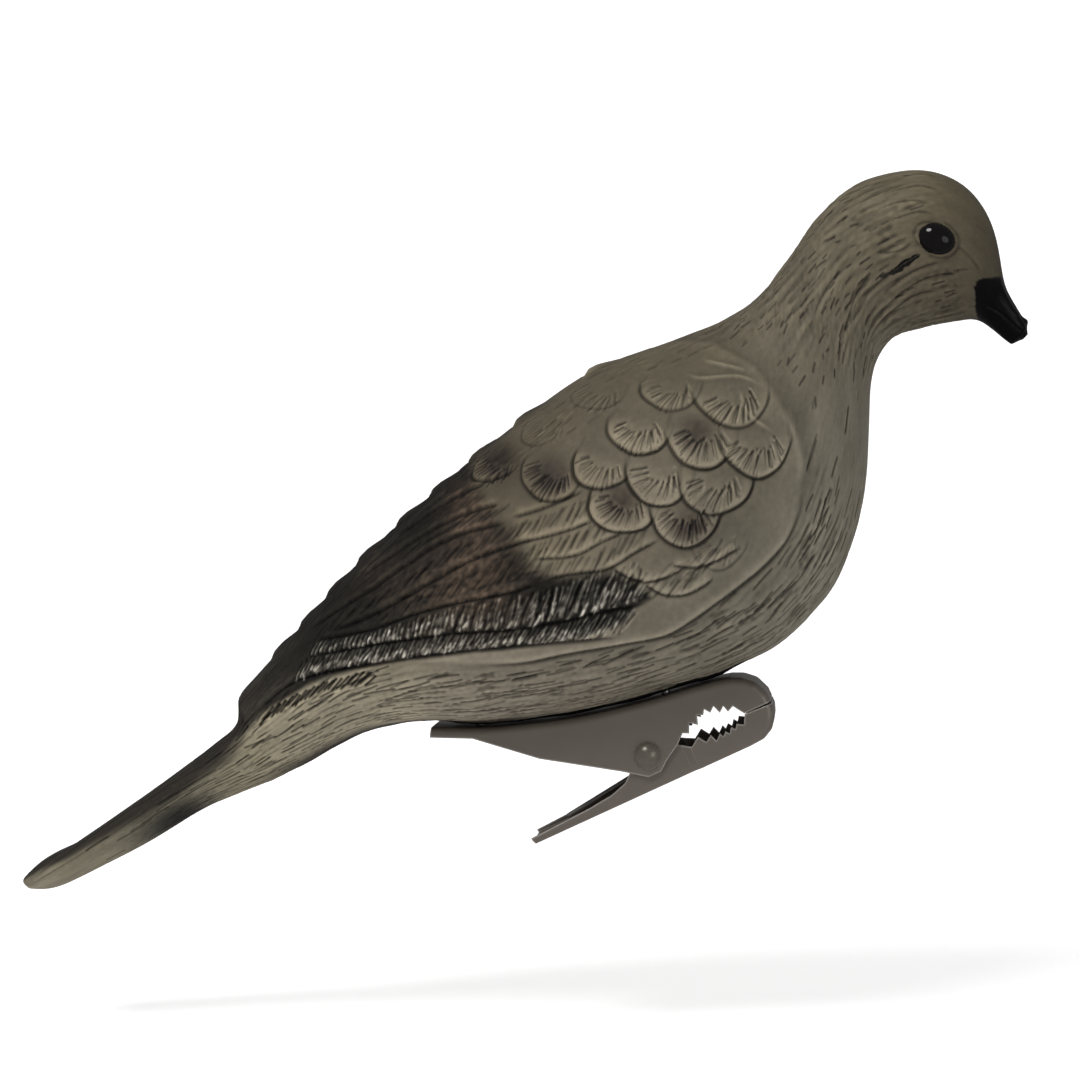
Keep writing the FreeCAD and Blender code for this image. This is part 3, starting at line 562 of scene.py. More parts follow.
def wing_feathers(light):
    """Coverts, long feathers and their barbs. light gathers the dry-brushed barbs."""
    wing_plate()
    for shape in COVERTS:
        covert(*shape)
    for shape in COVERTS:
        covert_barbs(*shape)
    for line in LIGHT_FEATHER_LINES:
        groove(line, width=0.5, depth=0.5, lip=-0.35, lip_width=2.2)
    for line in LONG_FEATHER_LINES:
        groove(line, width=0.6, depth=0.6, lip=-0.45, lip_width=2.4, fade=0.08)
    for line in SHOULDER_LINES:
        groove(line, width=0.5, depth=-0.35, fade=0.3)
    first, second, third, fourth, fifth = LONG_FEATHER_LINES[:5]
    upper = [(-23.7, 41.6), (-36.2, 39.4)] + third[1:]
    barbs_between(upper, fourth, 1.2, 72, 0.34, light)
    barbs_between(fourth[1:], fifth[:-1], 1.15, 60, 0.34, light)
    barbs_between(first, second, 1.3, 50, 0.24)
    barbs_between(second, third, 1.3, 55, 0.26)
    barbs_between([(-53.0, 59.5), (-66.0, 54.0), (-78.0, 46.0)], first[:4], 1.3, 40, 0.2)
    for upper, lower in zip(LIGHT_FEATHER_LINES, LIGHT_FEATHER_LINES[1:4]):
        barbs_between(upper, lower, 1.2, 62, 0.24)
    barbs_between(LIGHT_FEATHER_LINES[4], LIGHT_FEATHER_LINES[5], 1.2, 55, 0.24)
    barbs_between([(8.0, 47.5), (2.0, 44.0), (-5.3, 43.0)], LIGHT_FEATHER_LINES[4][:3], 1.3, 50, 0.2)
    back_feathers()


# ---------------- body, neck, head and tail

# The way the small feathers lie, (x, z, degrees from +X in the side view).
BODY_FLOW = [
    (-185, -46, 33), (-150, -24, 33), (-122, -9, 36), (-108, -2, 50), (-95, 2, 34), (-75, 8, 20),
    (-45, 9, 10), (-15, 13, 16), (5, 26, 34), (18, 42, 50), (29, 60, 66), (33, 78, 78), (34, 92, 84),
    (24, 98, 66), (17, 109, 52), (10, 96, 62), (24, 109, 58), (32, 103, 75), (36, 108, 54),
    (42, 105, 45), (42, 113, 38), (50, 115, 22), (56, 117, 8), (58, 108, 12), (39, 126, 26),
    (46, 134, 20), (51, 133, 26), (50, 139, 12), (28, 120, 40), (64, 118, -10), (-20, 92, 30),
    (-50, 74, 42),
]
FRINGE_LINE = [(-114.0, 2.2), (-107.0, 6.2), (-100.5, 9.4), (-91.3, 12.0), (-85.0, 12.8)]
FRINGE_STEP = 1.25   # millimetres from one dash of the fringe to the next


def scatter(count, allowed, spread, lengths, widths, depths, wobble, bend=0.02):
    """Dashes at random places, as close as the allowed field says there, along the body's flow."""
    weight = allowed * ROW_STEP * COLUMN_STEP
    chances = np.cumsum(weight.ravel())
    for cell in np.searchsorted(chances, RANDOM.random(count) * chances[-1]):
        place = divmod(int(cell), COLUMNS)
        turn = flow(BODY_FLOW, X[place], Z[place], spread) + math.radians(RANDOM.normal(0, wobble))
        depth, length, width = RANDOM.uniform(*depths), RANDOM.uniform(*lengths), RANDOM.uniform(*widths)
        stroke(place, turn, length, width, depth, RANDOM.uniform(-bend, bend), dark_marks, 2 * max(depth, 0))


def body_folds():
    """Long wavy locks over the belly, the neck and the side of the head; the high breast stays smooth."""
    wing = soft_step(inside(WING_OUTLINE), -2.0, -0.3)
    bill = soft_step(X + 0.2 * Z, 83, 86)
    low = 1 - soft_step(Z, 46, 76)
    belly = (1 - wing) * (1 - bill) * (0.08 + 0.92 * low) * soft_step(-Z, -96, -84)
    belly = belly * (0.15 + 0.85 * soft_step(X, -140, -118))
    locks = folds(BODY_FLOW, 14, 6.5, 1.4, 1.7)
    rise[...] -= belly * (0.065 * locks + 0.2 * np.clip(locks - 0.75, 0, 1))
    forehead = soft_step(X + 0.25 * (Z - 120), 56, 64)
    crown = soft_step(Z + 0.35 * X, 146, 160)
    eye_clear = 1 - bump(np.hypot(X - 55.5, Z - 123.2), 6.5)
    neck = (1 - bill) * (1 - forehead) * (1 - 0.9 * crown) * soft_step(Z + 0.2 * X, 92, 110) * eye_clear
    curls = folds(BODY_FLOW, 8, 7.5, 1.7, 3.4)
    rise[...] -= neck * (0.12 * curls + 0.14 * np.clip(curls - 0.6, 0, 1))


def body_dashes():
    """Sharper dashes among the locks, on the back, the tail and the dark feathers."""
    wing = soft_step(inside(WING_OUTLINE), -2.5, -0.5)
    bill = soft_step(X + 0.2 * Z, 84, 88)
    low = 1 - soft_step(Z, 50, 72)
    belly = (1 - wing) * (1 - bill) * (0.05 + 0.95 * low) * soft_step(X, -125, -115) * soft_step(-Z, -96, -84)
    scatter(460, belly, 14, (3.8, 9.5), (0.22, 0.32), (0.12, 0.30), 6)
    eye_clear = 1 - 0.85 * bump(np.hypot(X - 55.5, Z - 123.2), 9)
    crown = soft_step(Z + 0.35 * X, 138, 154)
    neck = (1 - wing) * (1 - bill) * soft_step(Z, 80, 98) * eye_clear * (1 - 0.9 * crown)
    scatter(170, neck, 8, (1.4, 3.6), (0.22, 0.32), (0.10, 0.26), 10)
    back = soft_step(inside(WING_OUTLINE), -1, 3) * soft_step(Z - 0.62 * X, 92, 100)
    scatter(170, back, 12, (2.0, 4.5), (0.3, 0.45), (-0.16, 0.12), 14)
    tail = soft_step(-X, 108, 120) * (0.25 + 0.75 * (1 - soft_step(-X, 138, 158)))
    scatter(300, tail, 14, (4.5, 11.0), (0.22, 0.32), (-0.05, 0.24), 3)
    dark = soft_step(inside(DARK_WING), 0, 1.5) * soft_step(X, -122, -112)
    scatter(900, dark, 14, (2.5, 6.0), (0.28, 0.4), (-0.06, 0.16), 9)


def wing_fringe():
    """Steep dashes where the wing's lower edge meets the rump."""
    for x, z in curve(FRINGE_LINE, FRINGE_STEP):
        place = nearest(x + RANDOM.uniform(-0.2, 0.2), z + RANDOM.uniform(-0.5, 0.5))
        lean = math.radians(50 + RANDOM.uniform(-3, 3))
        length, depth = RANDOM.uniform(4.2, 6.2), RANDOM.uniform(0.3, 0.5)
        stroke(place, lean, length, 0.34, depth, RANDOM.uniform(-0.02, 0.02), dark_marks)


EYE_TILT = math.radians(-24)
EYE_LENGTH, EYE_HEIGHT = 4.4, 3.4   # from the middle to the lid
EYE_MIDDLE = [sum(corner[axis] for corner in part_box("eye_right")) / 2 / MM for axis in (0, 2)]
# The groove under the eye's dark dash, then the dash itself and its trail, (x, z) along each.
DASH_GROOVE = [(51.5, 119.2), (48.0, 117.0), (44.8, 114.8)]
DASH = [(51.6, 119.3), (48.0, 117.2), (44.4, 114.6)]
DASH_TRAIL = [(44.6, 114.7), (41.0, 113.4)]
CHEEK_GROOVE = [(60.5, 121.5), (64.0, 118.8), (66.5, 115.5)]
MOUTH_LINE = [(66.5, 107.0), (70.5, 106.2), (74.5, 103.0), (78.2, 99.9)]
BILL_OUTLINE = [
    (66.6, 113.4), (72, 114.2), (78, 114), (90, 100), (76, 92), (68.2, 98), (66.8, 102.5),
    (65.6, 106.5), (65.3, 111.5), (65.8, 112.8),
]
# The spur and bumps on the bill's tip: (row, column, height).
TIP_BUMPS = [(ROWS - 7, 0, 0.7), (ROWS - 6, COLUMNS // 3, 0.3), (ROWS - 14, COLUMNS // 4, 0.25)]
# Long folds that sweep back from round the eye and over the cheek, (x, z) along each.
FACE_FOLDS = [
    [(55.5, 128.8), (51.5, 130), (47.5, 128.8), (43.5, 127.6)],
    [(54.5, 131.5), (50.5, 132.8), (45.5, 132.3), (40.5, 130.2)],
    [(57.5, 134.5), (52.5, 136.6), (46.5, 135.8), (40.5, 133.6)],
    [(56.5, 138.5), (52, 140), (46, 138.8)],
    [(50.5, 123.5), (48, 120.8), (44.5, 119.6), (40, 119.8)],
    [(58.5, 117.4), (52.5, 116.2), (47, 113), (42, 109)],
    [(60, 114.6), (53.5, 113.4), (47.5, 110), (42.5, 105.6)],
    [(57.5, 110.6), (51, 109.4), (45.5, 105.8), (41, 101)],
    [(41, 116), (37, 111), (34.5, 105), (33.2, 99.5)],
    [(36, 118), (30.5, 113.5), (26.5, 107), (25, 101.5)],
]


def turned(x, z, lean):
    """Each point's distance along and across a line through (x, z) that leans up, in the side view."""
    along = (X - x) * math.cos(lean) + (Z - z) * math.sin(lean)
    across = (Z - z) * math.cos(lean) - (X - x) * math.sin(lean)
    return along, across


def eye_ring():
    """The skin's distance from the eye's middle, as a share of the lid's."""
    along, across = turned(*EYE_MIDDLE, EYE_TILT)
    corner = np.where(along < 0, 1.0 + 0.25 * np.abs(across) / EYE_HEIGHT, 1.0)
    return np.hypot(along / EYE_LENGTH, corner * across / EYE_HEIGHT)


def face():
    """The eye's lid and socket, the folds behind it, the line of the mouth and the bill's tip."""
    ring = eye_ring()
    rise[...] += 0.42 * bump(ring - 1.06, 0.10) - 0.14 * bump(ring - 1.32, 0.1)
    rise[...] -= 0.5 * (1 - soft_step(ring, 0.86, 0.98))
    groove(CHEEK_GROOVE, width=0.5, depth=0.2)
    for line in FACE_FOLDS:
        groove(line, width=0.55, depth=0.3, lip=0.2, lip_width=1.3, fade=0.3)
    groove(DASH_GROOVE, width=0.6, depth=0.3)
    groove(MOUTH_LINE, width=0.4, depth=0.35, fade=0.15)
    for row, column, height in TIP_BUMPS:
        far = np.linalg.norm(SKIN - SKIN[row, column], axis=2)
        rise[...] += height * bump(far, 1.0)


def tail_relief():
    """Feather lines along the tail."""
    for low in (0.0, 3.2):
        line = [(-128.0, -9.5 - low), (-145.0, -19.5 - low), (-163.0, -31.5 - low)]
        line.append((-180.0, -44.0 - 0.3 * low))
        groove(line, width=0.6, depth=0.32, lip=0.15, lip_width=1.6)


dry_brush = np.zeros((ROWS, COLUMNS))
wing_feathers(dry_brush)
body_folds()
body_dashes()
wing_fringe()
face()
tail_relief()
rise = np.clip(rise, DEEPEST, HIGHEST)
rise *= soft_step(np.minimum(np.arange(ROWS), np.arange(ROWS)[::-1])[:, None], -1, 4)


# ---------------- paint on the skin

# Airbrushed ground colours, (x, z) in the side view and sRGB out of 255.
GROUND = [
    (47, 141, 110, 102, 84), (62, 134, 84, 77, 62), (60, 112, 68, 62, 51), (50, 106, 72, 66, 54),
    (30, 128, 98, 91, 76), (25, 110, 98, 91, 76), (20, 98, 98, 92, 79), (33, 88, 108, 103, 91),
    (30, 70, 114, 109, 97), (34, 55, 110, 105, 93), (14, 38, 104, 99, 88), (-8, 18, 96, 91, 80),
    (-35, 8, 98, 92, 82), (-55, 8, 110, 103, 91), (-80, 7, 119, 112, 96), (-100, 0, 126, 119, 102),
    (-120, -10, 125, 118, 99), (-140, -20, 108, 103, 87), (-160, -32, 104, 99, 84), (-178, -44, 120, 113, 98),
    (10, 100, 90, 83, 69), (-12, 96, 92, 85, 69), (-40, 82, 88, 81, 67), (-55, 72, 84, 77, 64),
    (-5, 76, 100, 93, 79), (-15, 62, 108, 101, 88), (12, 68, 88, 82, 70), (-32, 50, 102, 94, 79),
    (-12, 44, 100, 93, 80), (-46, 59, 86, 79, 65), (8, 48, 94, 89, 77), (-6, 31, 94, 89, 78),
    (-40, 18, 104, 98, 85),
]
GROUND_SPREAD = 13.0
# The colours laid over the ground, sRGB out of 255.
COATS = {
    "wing": (25, 23, 20.5), "wing_tip": (45, 42, 38), "brown": (72, 60, 50), "spot": (33, 28, 26),
    "dry_brush": (168, 163, 152), "back": (36, 33, 30), "tail": (44, 41, 37), "smudge": (36, 34, 32),
    "dash_marks": (44, 40, 35), "lid": (40, 35, 30), "eye_dash": (14, 12, 12), "trail": (30, 26, 24),
    "bill": (11, 11, 11), "clip_shadow": (24, 22, 21),
}
PLAIN_PLASTIC = (0.13, 0.11, 0.09)   # linear, for the unpainted inside
GAMMA = 2.2
TAIL_LEAN = math.radians(33)
TAIL_SMUDGE = (-139.5, -26.5)
SMUDGE_LENGTH, SMUDGE_HEIGHT = 11.0, 5.0
# The painted shadow on the strip of belly above the clip, where the clip shades it: its ends' x, and half its
# width.
SHADOW_STRIP_REAR, SHADOW_STRIP_FRONT, SHADOW_STRIP_HALF = -65, 7.5, 6.5


def ground():
    """The ground colour everywhere, blended between the airbrushed ones."""
    total = np.full((ROWS, COLUMNS), 1e-9)
    mixed = np.zeros((ROWS, COLUMNS, 3))
    for x, z, *colour in GROUND:
        weight = nearness(x, z, GROUND_SPREAD)
        total += weight
        mixed += weight[..., None] * np.array(colour)
    return mixed / total[..., None]


def grain(radius):
    """Seeded random blotches of about that many cells, from about -1 to 1."""
    field = blurred(RANDOM.standard_normal((ROWS, COLUMNS)), radius)
    return field / field.std() / 2


def coated(paint, coat, cover):
    """The paint with one of the coats over it, as thickly as cover says, from 0 to 1."""
    return paint + (np.array(COATS[coat]) - paint) * np.clip(cover, 0, 1)[..., None]


def wing_paint(paint, fine, broad):
    """The dark rear of the wing, the spots on the coverts and the dry-brushed barbs."""
    dark = inside(DARK_WING)
    upper_front = soft_step(X, -80, -62) * soft_step(Z, 34, 42)
    cover = soft_step(dark + 0.4 * broad, -0.7 - 1.8 * upper_front, 1.3 + 2.6 * upper_front)
    cover = 0.95 * (cover * soft_step(X, -142, -130))[..., None]
    wing = np.full((ROWS, COLUMNS, 3), COATS["wing"])
    wing = coated(wing, "wing_tip", 1 - soft_step(X, -118, -98))
    for x, z, size, strength in BROWN_PATCHES:
        wing = coated(wing, "brown", strength * nearness(x, z, size) * (1 + 0.3 * fine))
    wing = wing * (1 + 0.10 * fine + 0.12 * broad)[..., None]
    paint = paint * (1 - cover) + wing * cover
    streaks = 0.75 + 0.25 * fine + 0.6 * barb_marks
    for x, z, size, strength in SPOTS:
        paint = coated(paint, "spot", strength * bump(np.hypot(X - x, 1.15 * (Z - z)), size) * streaks)
    barbs = dry_brush * soft_step(dark, -1.5, 0.5) * (0.75 + 0.4 * fine)
    return coated(paint, "dry_brush", 0.95 * barbs)


def back_and_tail_paint(paint, fine, broad):
    """The dark strips along the back and the tail's top, and the smudge under the tail."""
    back = soft_step(X, -128, -100) * (1 - soft_step(X + 3 * broad, -58, -36)) * (1 - soft_step(-Y, 4, 13))
    paint = coated(paint, "back", 0.85 * back)
    height = (Z - Z[:, -1:]) / np.maximum(Z[:, :1] - Z[:, -1:], 1)
    height = height - 0.08 * soft_step(-X, 150, 175) + 0.04 * broad
    paint = coated(paint, "tail", 0.92 * soft_step(-X, 117, 127) * soft_step(height, 0.55, 0.80))
    along, across = turned(*TAIL_SMUDGE, TAIL_LEAN)
    smudge = bump(np.hypot(along / SMUDGE_LENGTH, across / SMUDGE_HEIGHT) + 0.1 * fine, 1.0)
    return coated(paint, "smudge", 0.95 * smudge)


def relief_dashes_shade_and_highlight(paint):
    """Dark dashes, then painted shade in the relief's grooves and hollows and painted highlights on its
    ridges.
    """
    paint = coated(paint, "dash_marks", 0.75 * dark_marks)
    # Painted shade and highlight: darker where the relief sinks below its surroundings, lighter where it
    # stands above them, finely and over wider hollows.
    crease_shade_and_light = rise - blurred(rise, 3.0)
    hollow = rise - blurred(rise, 9.0)
    paint = paint * (1 + 1.2 * np.clip(crease_shade_and_light, -0.3, 0.0) + 0.9 * np.clip(crease_shade_and_light, 0, 0.25))[..., None]
    return paint * (1 + 0.32 * np.clip(hollow, -0.5, 0.4))[..., None]


def eye_paint(paint, ragged):
    """The eye's dark lid, and the black dash behind it with its trail."""
    paint = coated(paint, "lid", 0.85 * (1 - soft_step(eye_ring(), 1.0, 1.22)))
    dash, share = near_line(DASH, 3.0)
    edge = 0.85 * np.sqrt(np.clip(1.02 - (2 * share - 1) ** 2, 0, 1))
    split = 0.35 + 0.65 * soft_step(np.abs(dash + 0.1), 0.1, 0.35)
    black = split * (1 - soft_step(np.abs(dash) + ragged, edge - 0.15, edge + 0.1))
    paint = coated(paint, "eye_dash", black)
    trail = np.abs(near_line(DASH_TRAIL, 3.0)[0])
    return coated(paint, "trail", 0.7 * (1 - soft_step(trail + 1.6 * ragged, 0.1, 0.5)))


def body_paint():
    """The skin's paint, sRGB out of 255, and the bill's share of each point."""
    fine, broad = grain(1.2), grain(9)
    paint = ground() * (1 + 0.035 * fine + 0.05 * broad)[..., None]
    paint = wing_paint(paint, fine, broad)
    paint = back_and_tail_paint(paint, fine, broad)
    paint = relief_dashes_shade_and_highlight(paint)
    ragged = 0.28 * grain(1.6)
    paint = eye_paint(paint, ragged)
    bill = soft_step(inside(BILL_OUTLINE) + 0.8 * ragged, -0.25, 0.3)
    paint = coated(paint, "bill", bill)
    # Painted shadow: the belly's strip over the clip, darkened where the clip shades it.
    strip = soft_step(X, SHADOW_STRIP_REAR - 3, SHADOW_STRIP_REAR + 3)
    strip = strip * (1 - soft_step(X, SHADOW_STRIP_FRONT - 1.5, SHADOW_STRIP_FRONT + 1.5))
    strip = strip * (1 - soft_step(-Y, SHADOW_STRIP_HALF - 0.3, SHADOW_STRIP_HALF + 0.3))
    strip = strip * soft_step(np.arange(COLUMNS) / COLUMNS, 0.5, 0.6)
    paint = coated(paint, "clip_shadow", strip)
    return np.clip(paint, 4, 235), bill


paint_rgb, bill_mask = body_paint()


# ---------------- the body's shells

INNER_COLUMNS = 60
CAVITY = slice(60, ROWS - 45)   # the rows where the body is hollow
WALL_SHARE = 0.3                # the most of a narrow section that its wall may take up


def quads(grid):
    """The four corners of each cell of a grid of vertex numbers."""
    corners = (grid[:-1, :-1], grid[1:, :-1], grid[1:, 1:], grid[:-1, 1:])
    return np.stack([corner.ravel() for corner in corners], axis=1)


def half_shell(name, side):
    """One half of the hollow body: outer skin, inner skin and the flat rim between them."""
    outer = SKIN + NORMAL * rise[..., None]
    outer[..., 1] = np.maximum(outer[..., 1], cad_box[0][1] / MM)
    outer[:, [0, -1], 1] = 0
    picked = np.linspace(0, COLUMNS - 1, INNER_COLUMNS).astype(int)
    base = SKIN[CAVITY][:, picked]
    room = np.linalg.norm(SKIN[CAVITY][:, :1] - SKIN[CAVITY][:, -1:], axis=2, keepdims=True)
    inner = base - NORMAL[CAVITY][:, picked] * np.minimum(WALL, WALL_SHARE * room)
    inner[..., 1] = np.minimum(inner[..., 1], 0)
    inner[:, [0, -1], 1] = 0
    rows_in, first = inner.shape[0], CAVITY.start
    verts = np.concatenate([outer.reshape(-1, 3), inner.reshape(-1, 3)]) * MM
    verts[:, 1] *= side
    outside = np.arange(ROWS * COLUMNS).reshape(ROWS, COLUMNS)
    within = outside.size + np.arange(rows_in * INNER_COLUMNS).reshape(rows_in, INNER_COLUMNS)
    last = first + rows_in - 1
    back, belly = outside[:, 0], outside[:, -1]
    faces = np.concatenate([
        quads(outside), quads(within)[:, ::-1],
        quads(np.stack([within[:, 0], back[first:last + 1]], axis=1)),
        quads(np.stack([belly[first:last + 1], within[:, -1]], axis=1)),
        quads(np.stack([belly[:first], back[:first]], axis=1)),
        quads(np.stack([belly[last + 1:], back[last + 1:]], axis=1)),
    ]).tolist()
    faces.append(outside[0].tolist()[::-1])
    faces.append(outside[-1].tolist())
    faces.append(within[0].tolist())
    faces.append(within[-1].tolist()[::-1])
    faces.append([belly[first - 1], belly[first], within[0, -1], within[0, 0], back[first], back[first - 1]])
    faces.append([back[last + 1], back[last], within[-1, 0], within[-1, -1], belly[last], belly[last + 1]])
    if side > 0:
        faces = [face[::-1] for face in faces]
    mesh = bpy.data.meshes.new(name)
    mesh.from_pydata(verts.tolist(), [], faces)
    smooth = np.arange(len(faces)) < (ROWS - 1) * (COLUMNS - 1)
    mesh.polygons.foreach_set("use_smooth", smooth)
    add_paint(mesh, outside.size)
    piece = bpy.data.objects.new(name, mesh)
    bpy.context.scene.collection.objects.link(piece)
    return piece


def add_paint(mesh, painted):
    """Writes the paint and the bill's mask to the mesh. Points after the painted ones get plain plastic."""
    linear = (paint_rgb / 255) ** GAMMA
    total = len(mesh.vertices)
    colours = np.ones((total, 4), np.float32)
    colours[:, :3] = PLAIN_PLASTIC
    colours[:painted, :3] = linear.reshape(-1, 3)
    mesh.attributes.new("paint", "FLOAT_COLOR", "POINT").data.foreach_set("color", colours.ravel())
    mask = np.zeros(total, np.float32)
    mask[:painted] = bill_mask.ravel()
    mesh.attributes.new("bill", "FLOAT", "POINT").data.foreach_set("value", mask)


# ---------------- materials

class Look:
    """A new material, with short ways to add nodes. An input is a value or another node's output."""

    def __init__(self, name):
        self.material = bpy.data.materials.new(name)
        self.material.use_nodes = True
        self.tree = self.material.node_tree

    def put(self, node, inputs):
        """Sets or links the node's inputs."""
        for key, value in inputs.items():
            if isinstance(value, bpy.types.NodeSocket):
                self.tree.links.new(value, node.inputs[key])
            else:
                node.inputs[key].default_value = value

    def add(self, kind, output, inputs=None, **settings):
        """One output of a new node."""
        node = self.tree.nodes.new("ShaderNode" + kind)
        for key, value in settings.items():
            setattr(node, key, value)
        self.put(node, inputs or {})
        return node.outputs[output]

    def noise(self, scale, detail=4.0):
        """Noise from 0 to 1 on object coordinates, in cycles a metre."""
        place = self.add("TexCoord", "Object")
        inputs = {"Vector": place, "Scale": scale, "Detail": detail, "Roughness": 0.55}
        return self.add("TexNoise", "Fac", inputs)

    def ranged(self, source, low, high):
        """A value from 0 to 1 mapped to low to high."""
        return self.add("MapRange", "Result", {"Value": source, "To Min": low, "To Max": high})

    def scaled(self, colour, share):
        return self.add("VectorMath", "Vector", {0: colour, "Scale": share}, operation="SCALE")

    def mixed(self, share, first, second):
        return self.add("Mix", 2, {0: share, 6: first, 7: second}, data_type="RGBA")

    def bumped(self, source, strength, distance, under=None):
        """A normal roughened by the source, over another normal if there is one."""
        inputs = {"Height": source, "Strength": strength, "Distance": distance}
        if under is not None:
            inputs["Normal"] = under
        return self.add("Bump", "Normal", inputs)

    def surface(self, inputs):
        """The material, with its shader's inputs set."""
        self.put(self.tree.nodes["Principled BSDF"], inputs)
        return self.material


def dimmed(colour, share):
    """The colour darkened to that share."""
    return (*(share * part for part in colour[:3]), 1)


def body_material():
    """Matt airbrushed plastic, with a fine mottle and a satin bill."""
    look = Look("body_airbrushed")
    paint = look.add("Attribute", "Color", attribute_name="paint")
    bill = look.ranged(look.add("Attribute", "Fac", attribute_name="bill"), 0.56, 0.30)
    coarse = look.bumped(look.noise(420.0, 3.0), 0.35, 0.0004)
    return look.surface({
        "Base Color": look.scaled(paint, look.ranged(look.noise(900.0, 5.0), 0.86, 1.14)),
        "Roughness": look.add("Math", "Value", {0: look.noise(350.0), 1: 0.14, 2: bill},
                              operation="MULTIPLY_ADD"),
        "Specular IOR Level": 0.16,
        "Normal": look.bumped(look.noise(2600.0, 2.0), 0.25, 0.0001, coarse),
    })


def rubbed_and_highlit_paint(name, colour, rubbed_and_lit_colour, roughness, metallic):
    """Painted metal: softened edges, brighter along them, partly as wear and partly as a painted highlight on
    the bends, and a faint orange peel. The brightening lies where a wide bevel's normal turns away from the
    face's own."""
    look = Look(name)
    round_edge = look.add("Bevel", "Normal", {"Radius": 0.0004}, samples=6)
    wide_edge = look.add("Bevel", "Normal", {"Radius": 0.0009}, samples=6)
    face = look.add("NewGeometry", "Normal")
    along = look.add("VectorMath", "Value", {0: wide_edge, 1: face}, operation="DOT_PRODUCT")
    edge = look.add("MapRange", "Result", {"Value": along, "From Min": 0.972, "From Max": 0.84})
    patches = look.ranged(look.noise(260.0, 5.0), 0.25, 1.1)
    # Wear and painted highlight both: the edges' brightening, broken into patches.
    edge_rubbing_and_highlight = look.add("Math", "Value", {0: edge, 1: patches}, operation="MULTIPLY")
    plain = look.mixed(look.noise(60.0, 6.0), colour, dimmed(colour, 0.78))
    return look.surface({
        "Base Color": look.mixed(edge_rubbing_and_highlight, plain, rubbed_and_lit_colour),
        "Roughness": look.ranged(look.noise(500.0), roughness - 0.06, roughness + 0.08),
        "Metallic": metallic,
        "Normal": look.bumped(look.noise(1800.0, 2.0), 0.12, 0.0001, round_edge),
    })


def bead_material():
    """Gloss black bead."""
    look = Look("eye_gloss")
    return look.surface({
        "Base Color": look.scaled((0.006, 0.005, 0.005), look.ranged(look.noise(300.0), 0.5, 1.0)),
        "Roughness": 0.07,
        "Specular IOR Level": 0.22,
    })


def steel_material(name, colour, roughness):
    """Bare steel with fine drawn scratches."""
    look = Look(name)
    return look.surface({
        "Base Color": look.mixed(look.noise(700.0, 6.0), colour, dimmed(colour, 0.6)),
        "Roughness": look.ranged(look.noise(1500.0), roughness - 0.1, roughness + 0.1),
        "Metallic": 1.0,
        "Normal": look.bumped(look.noise(3000.0, 2.0), 0.2, 0.00005),
    })


def give(node, material):
    """A CAD node shown with one material."""
    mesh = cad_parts[node].data
    mesh.materials.clear()
    mesh.materials.append(material)


# ---------------- build

body_look = body_material()
for node, side in (("body_half_right", 1), ("body_half_left", -1)):
    shell = half_shell(node.replace("body_half", "dove_shell"), side)
    shell.data.materials.append(body_look)
    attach(shell, "decoy")
    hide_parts(node)

# Each: paint colour, the brighter edge colour for wear and painted highlight, roughness, metallic.
clip_look = rubbed_and_highlit_paint("clip_painted_steel", (0.180, 0.155, 0.131, 1), (0.55, 0.52, 0.48, 1), 0.34, 0.35)
rivet_look = rubbed_and_highlit_paint("rivet_painted_steel", (0.150, 0.132, 0.106, 1), (0.34, 0.32, 0.28, 1), 0.26, 0.35)
eye_look = bead_material()
spring_look = steel_material("spring_steel", (0.35, 0.34, 0.33, 1), 0.35)
screw_look = steel_material("zinc_steel", (0.55, 0.55, 0.54, 1), 0.35)
for node, look in (("clip_upper_jaw", clip_look), ("clip_lower_jaw", clip_look), ("pivot_rivet", rivet_look),
                   ("eye_right", eye_look), ("eye_left", eye_look), ("torsion_spring", spring_look),
                   ("clip_screw_front", screw_look), ("clip_screw_rear", screw_look)):
    give(node, look)

# The torsion spring is shown by a copy of its mesh, with its placement baked in.
spring_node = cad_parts["torsion_spring"]
spring = bpy.data.objects.new("sprung_coil", spring_node.data.copy())
spring.matrix_world = spring_node.matrix_world
bpy.context.scene.collection.objects.link(spring)
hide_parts("torsion_spring")
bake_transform(spring)


# ---------------- studio

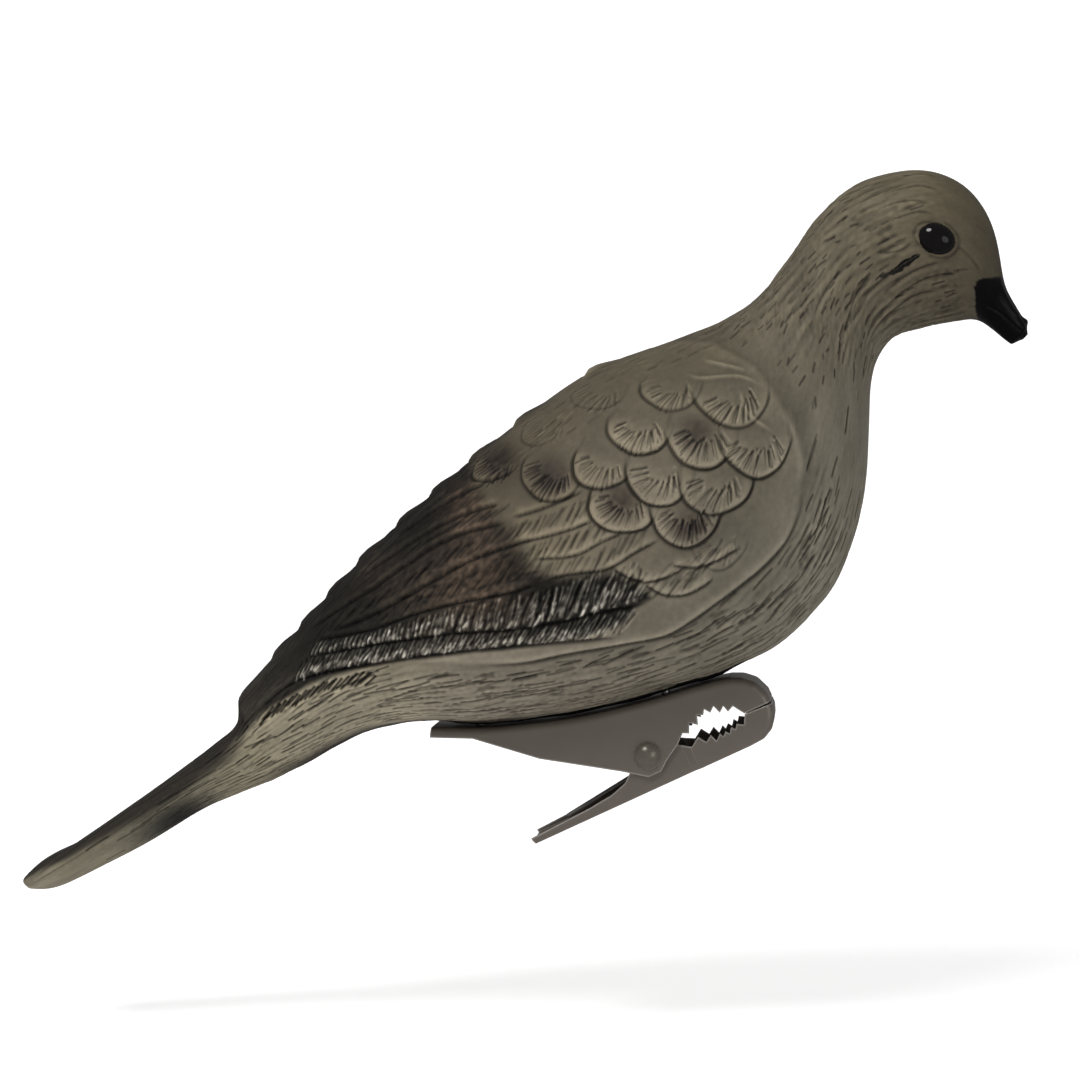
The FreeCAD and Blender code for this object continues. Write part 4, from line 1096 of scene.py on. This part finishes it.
def backdrop():
    """A pale floor that sweeps up into a wall behind the decoy."""
    floor, depth, turn, top, wide = -0.085, 0.55, 0.35, 1.6, 2.4
    profile = [(-1.6, floor), (depth, floor)]
    for angle in np.linspace(0, math.pi / 2, 13)[1:]:
        profile.append((depth + turn * math.sin(angle), floor + turn * (1 - math.cos(angle))))
    profile.append((depth + turn, top))
    verts = [(x, y, z) for y, z in profile for x in (-wide, wide)]
    faces = [(2 * k, 2 * k + 1, 2 * k + 3, 2 * k + 2) for k in range(len(profile) - 1)]
    mesh = bpy.data.meshes.new("studio_floor")
    mesh.from_pydata(verts, [], faces)
    mesh.polygons.foreach_set("use_smooth", [True] * len(faces))
    mesh.materials.append(Look("pale_paper").surface({
        "Base Color": (0.9, 0.9, 0.9, 1), "Roughness": 0.9,
        "Emission Color": (1, 1, 1, 1), "Emission Strength": 0.5,
    }))
    sweep = bpy.data.objects.new("studio_floor", mesh)
    bpy.context.scene.collection.objects.link(sweep)
    sweep.visible_glossy = False


def soft_light(name, place, aim, size, power):
    """A round area light of that many watts, aimed at a point."""
    lamp = bpy.data.lights.new(name, "AREA")
    lamp.shape = "DISK"
    lamp.size = size
    lamp.energy = power
    holder = bpy.data.objects.new(name, lamp)
    holder.location = place
    holder.rotation_euler = (Vector(aim) - Vector(place)).to_track_quat("-Z", "Y").to_euler()
    bpy.context.scene.collection.objects.link(holder)


def studio():
    """Pale surroundings, a high key light and a weaker fill."""
    world = bpy.data.worlds.new("studio")
    bpy.context.scene.world = world
    world.use_nodes = True
    world.node_tree.nodes["Background"].inputs["Color"].default_value = (1, 1, 1, 1)
    world.node_tree.nodes["Background"].inputs["Strength"].default_value = 0.2
    middle = (-0.05, 0, 0.05)
    soft_light("key", (-0.45, -0.75, 1.05), middle, 0.5, 11)
    soft_light("fill", (1.0, -1.3, 0.2), middle, 0.9, 3.5)
    bpy.context.scene.view_settings.view_transform = "Standard"


CAMERA_AZIMUTH, CAMERA_ELEVATION = math.radians(6), math.radians(3)
CAMERA_DISTANCE = 0.7
CAMERA_AIM = Vector((-0.04507, 0, 0.04697))
CAMERA_FIELD = math.radians(22.612)


def camera():
    """The camera, a little ahead of the bird's right side and a little above it."""
    data = bpy.data.cameras.new("camera")
    data.sensor_width = 36
    data.lens = 18 / math.tan(CAMERA_FIELD / 2)
    holder = bpy.data.objects.new("camera", data)
    back = Vector((math.sin(CAMERA_AZIMUTH) * math.cos(CAMERA_ELEVATION),
                   -math.cos(CAMERA_AZIMUTH) * math.cos(CAMERA_ELEVATION), math.sin(CAMERA_ELEVATION)))
    holder.location = CAMERA_AIM + back * CAMERA_DISTANCE
    holder.rotation_euler = (-back).to_track_quat("-Z", "Y").to_euler()
    bpy.context.scene.collection.objects.link(holder)
    bpy.context.scene.camera = holder


backdrop()
studio()
camera()
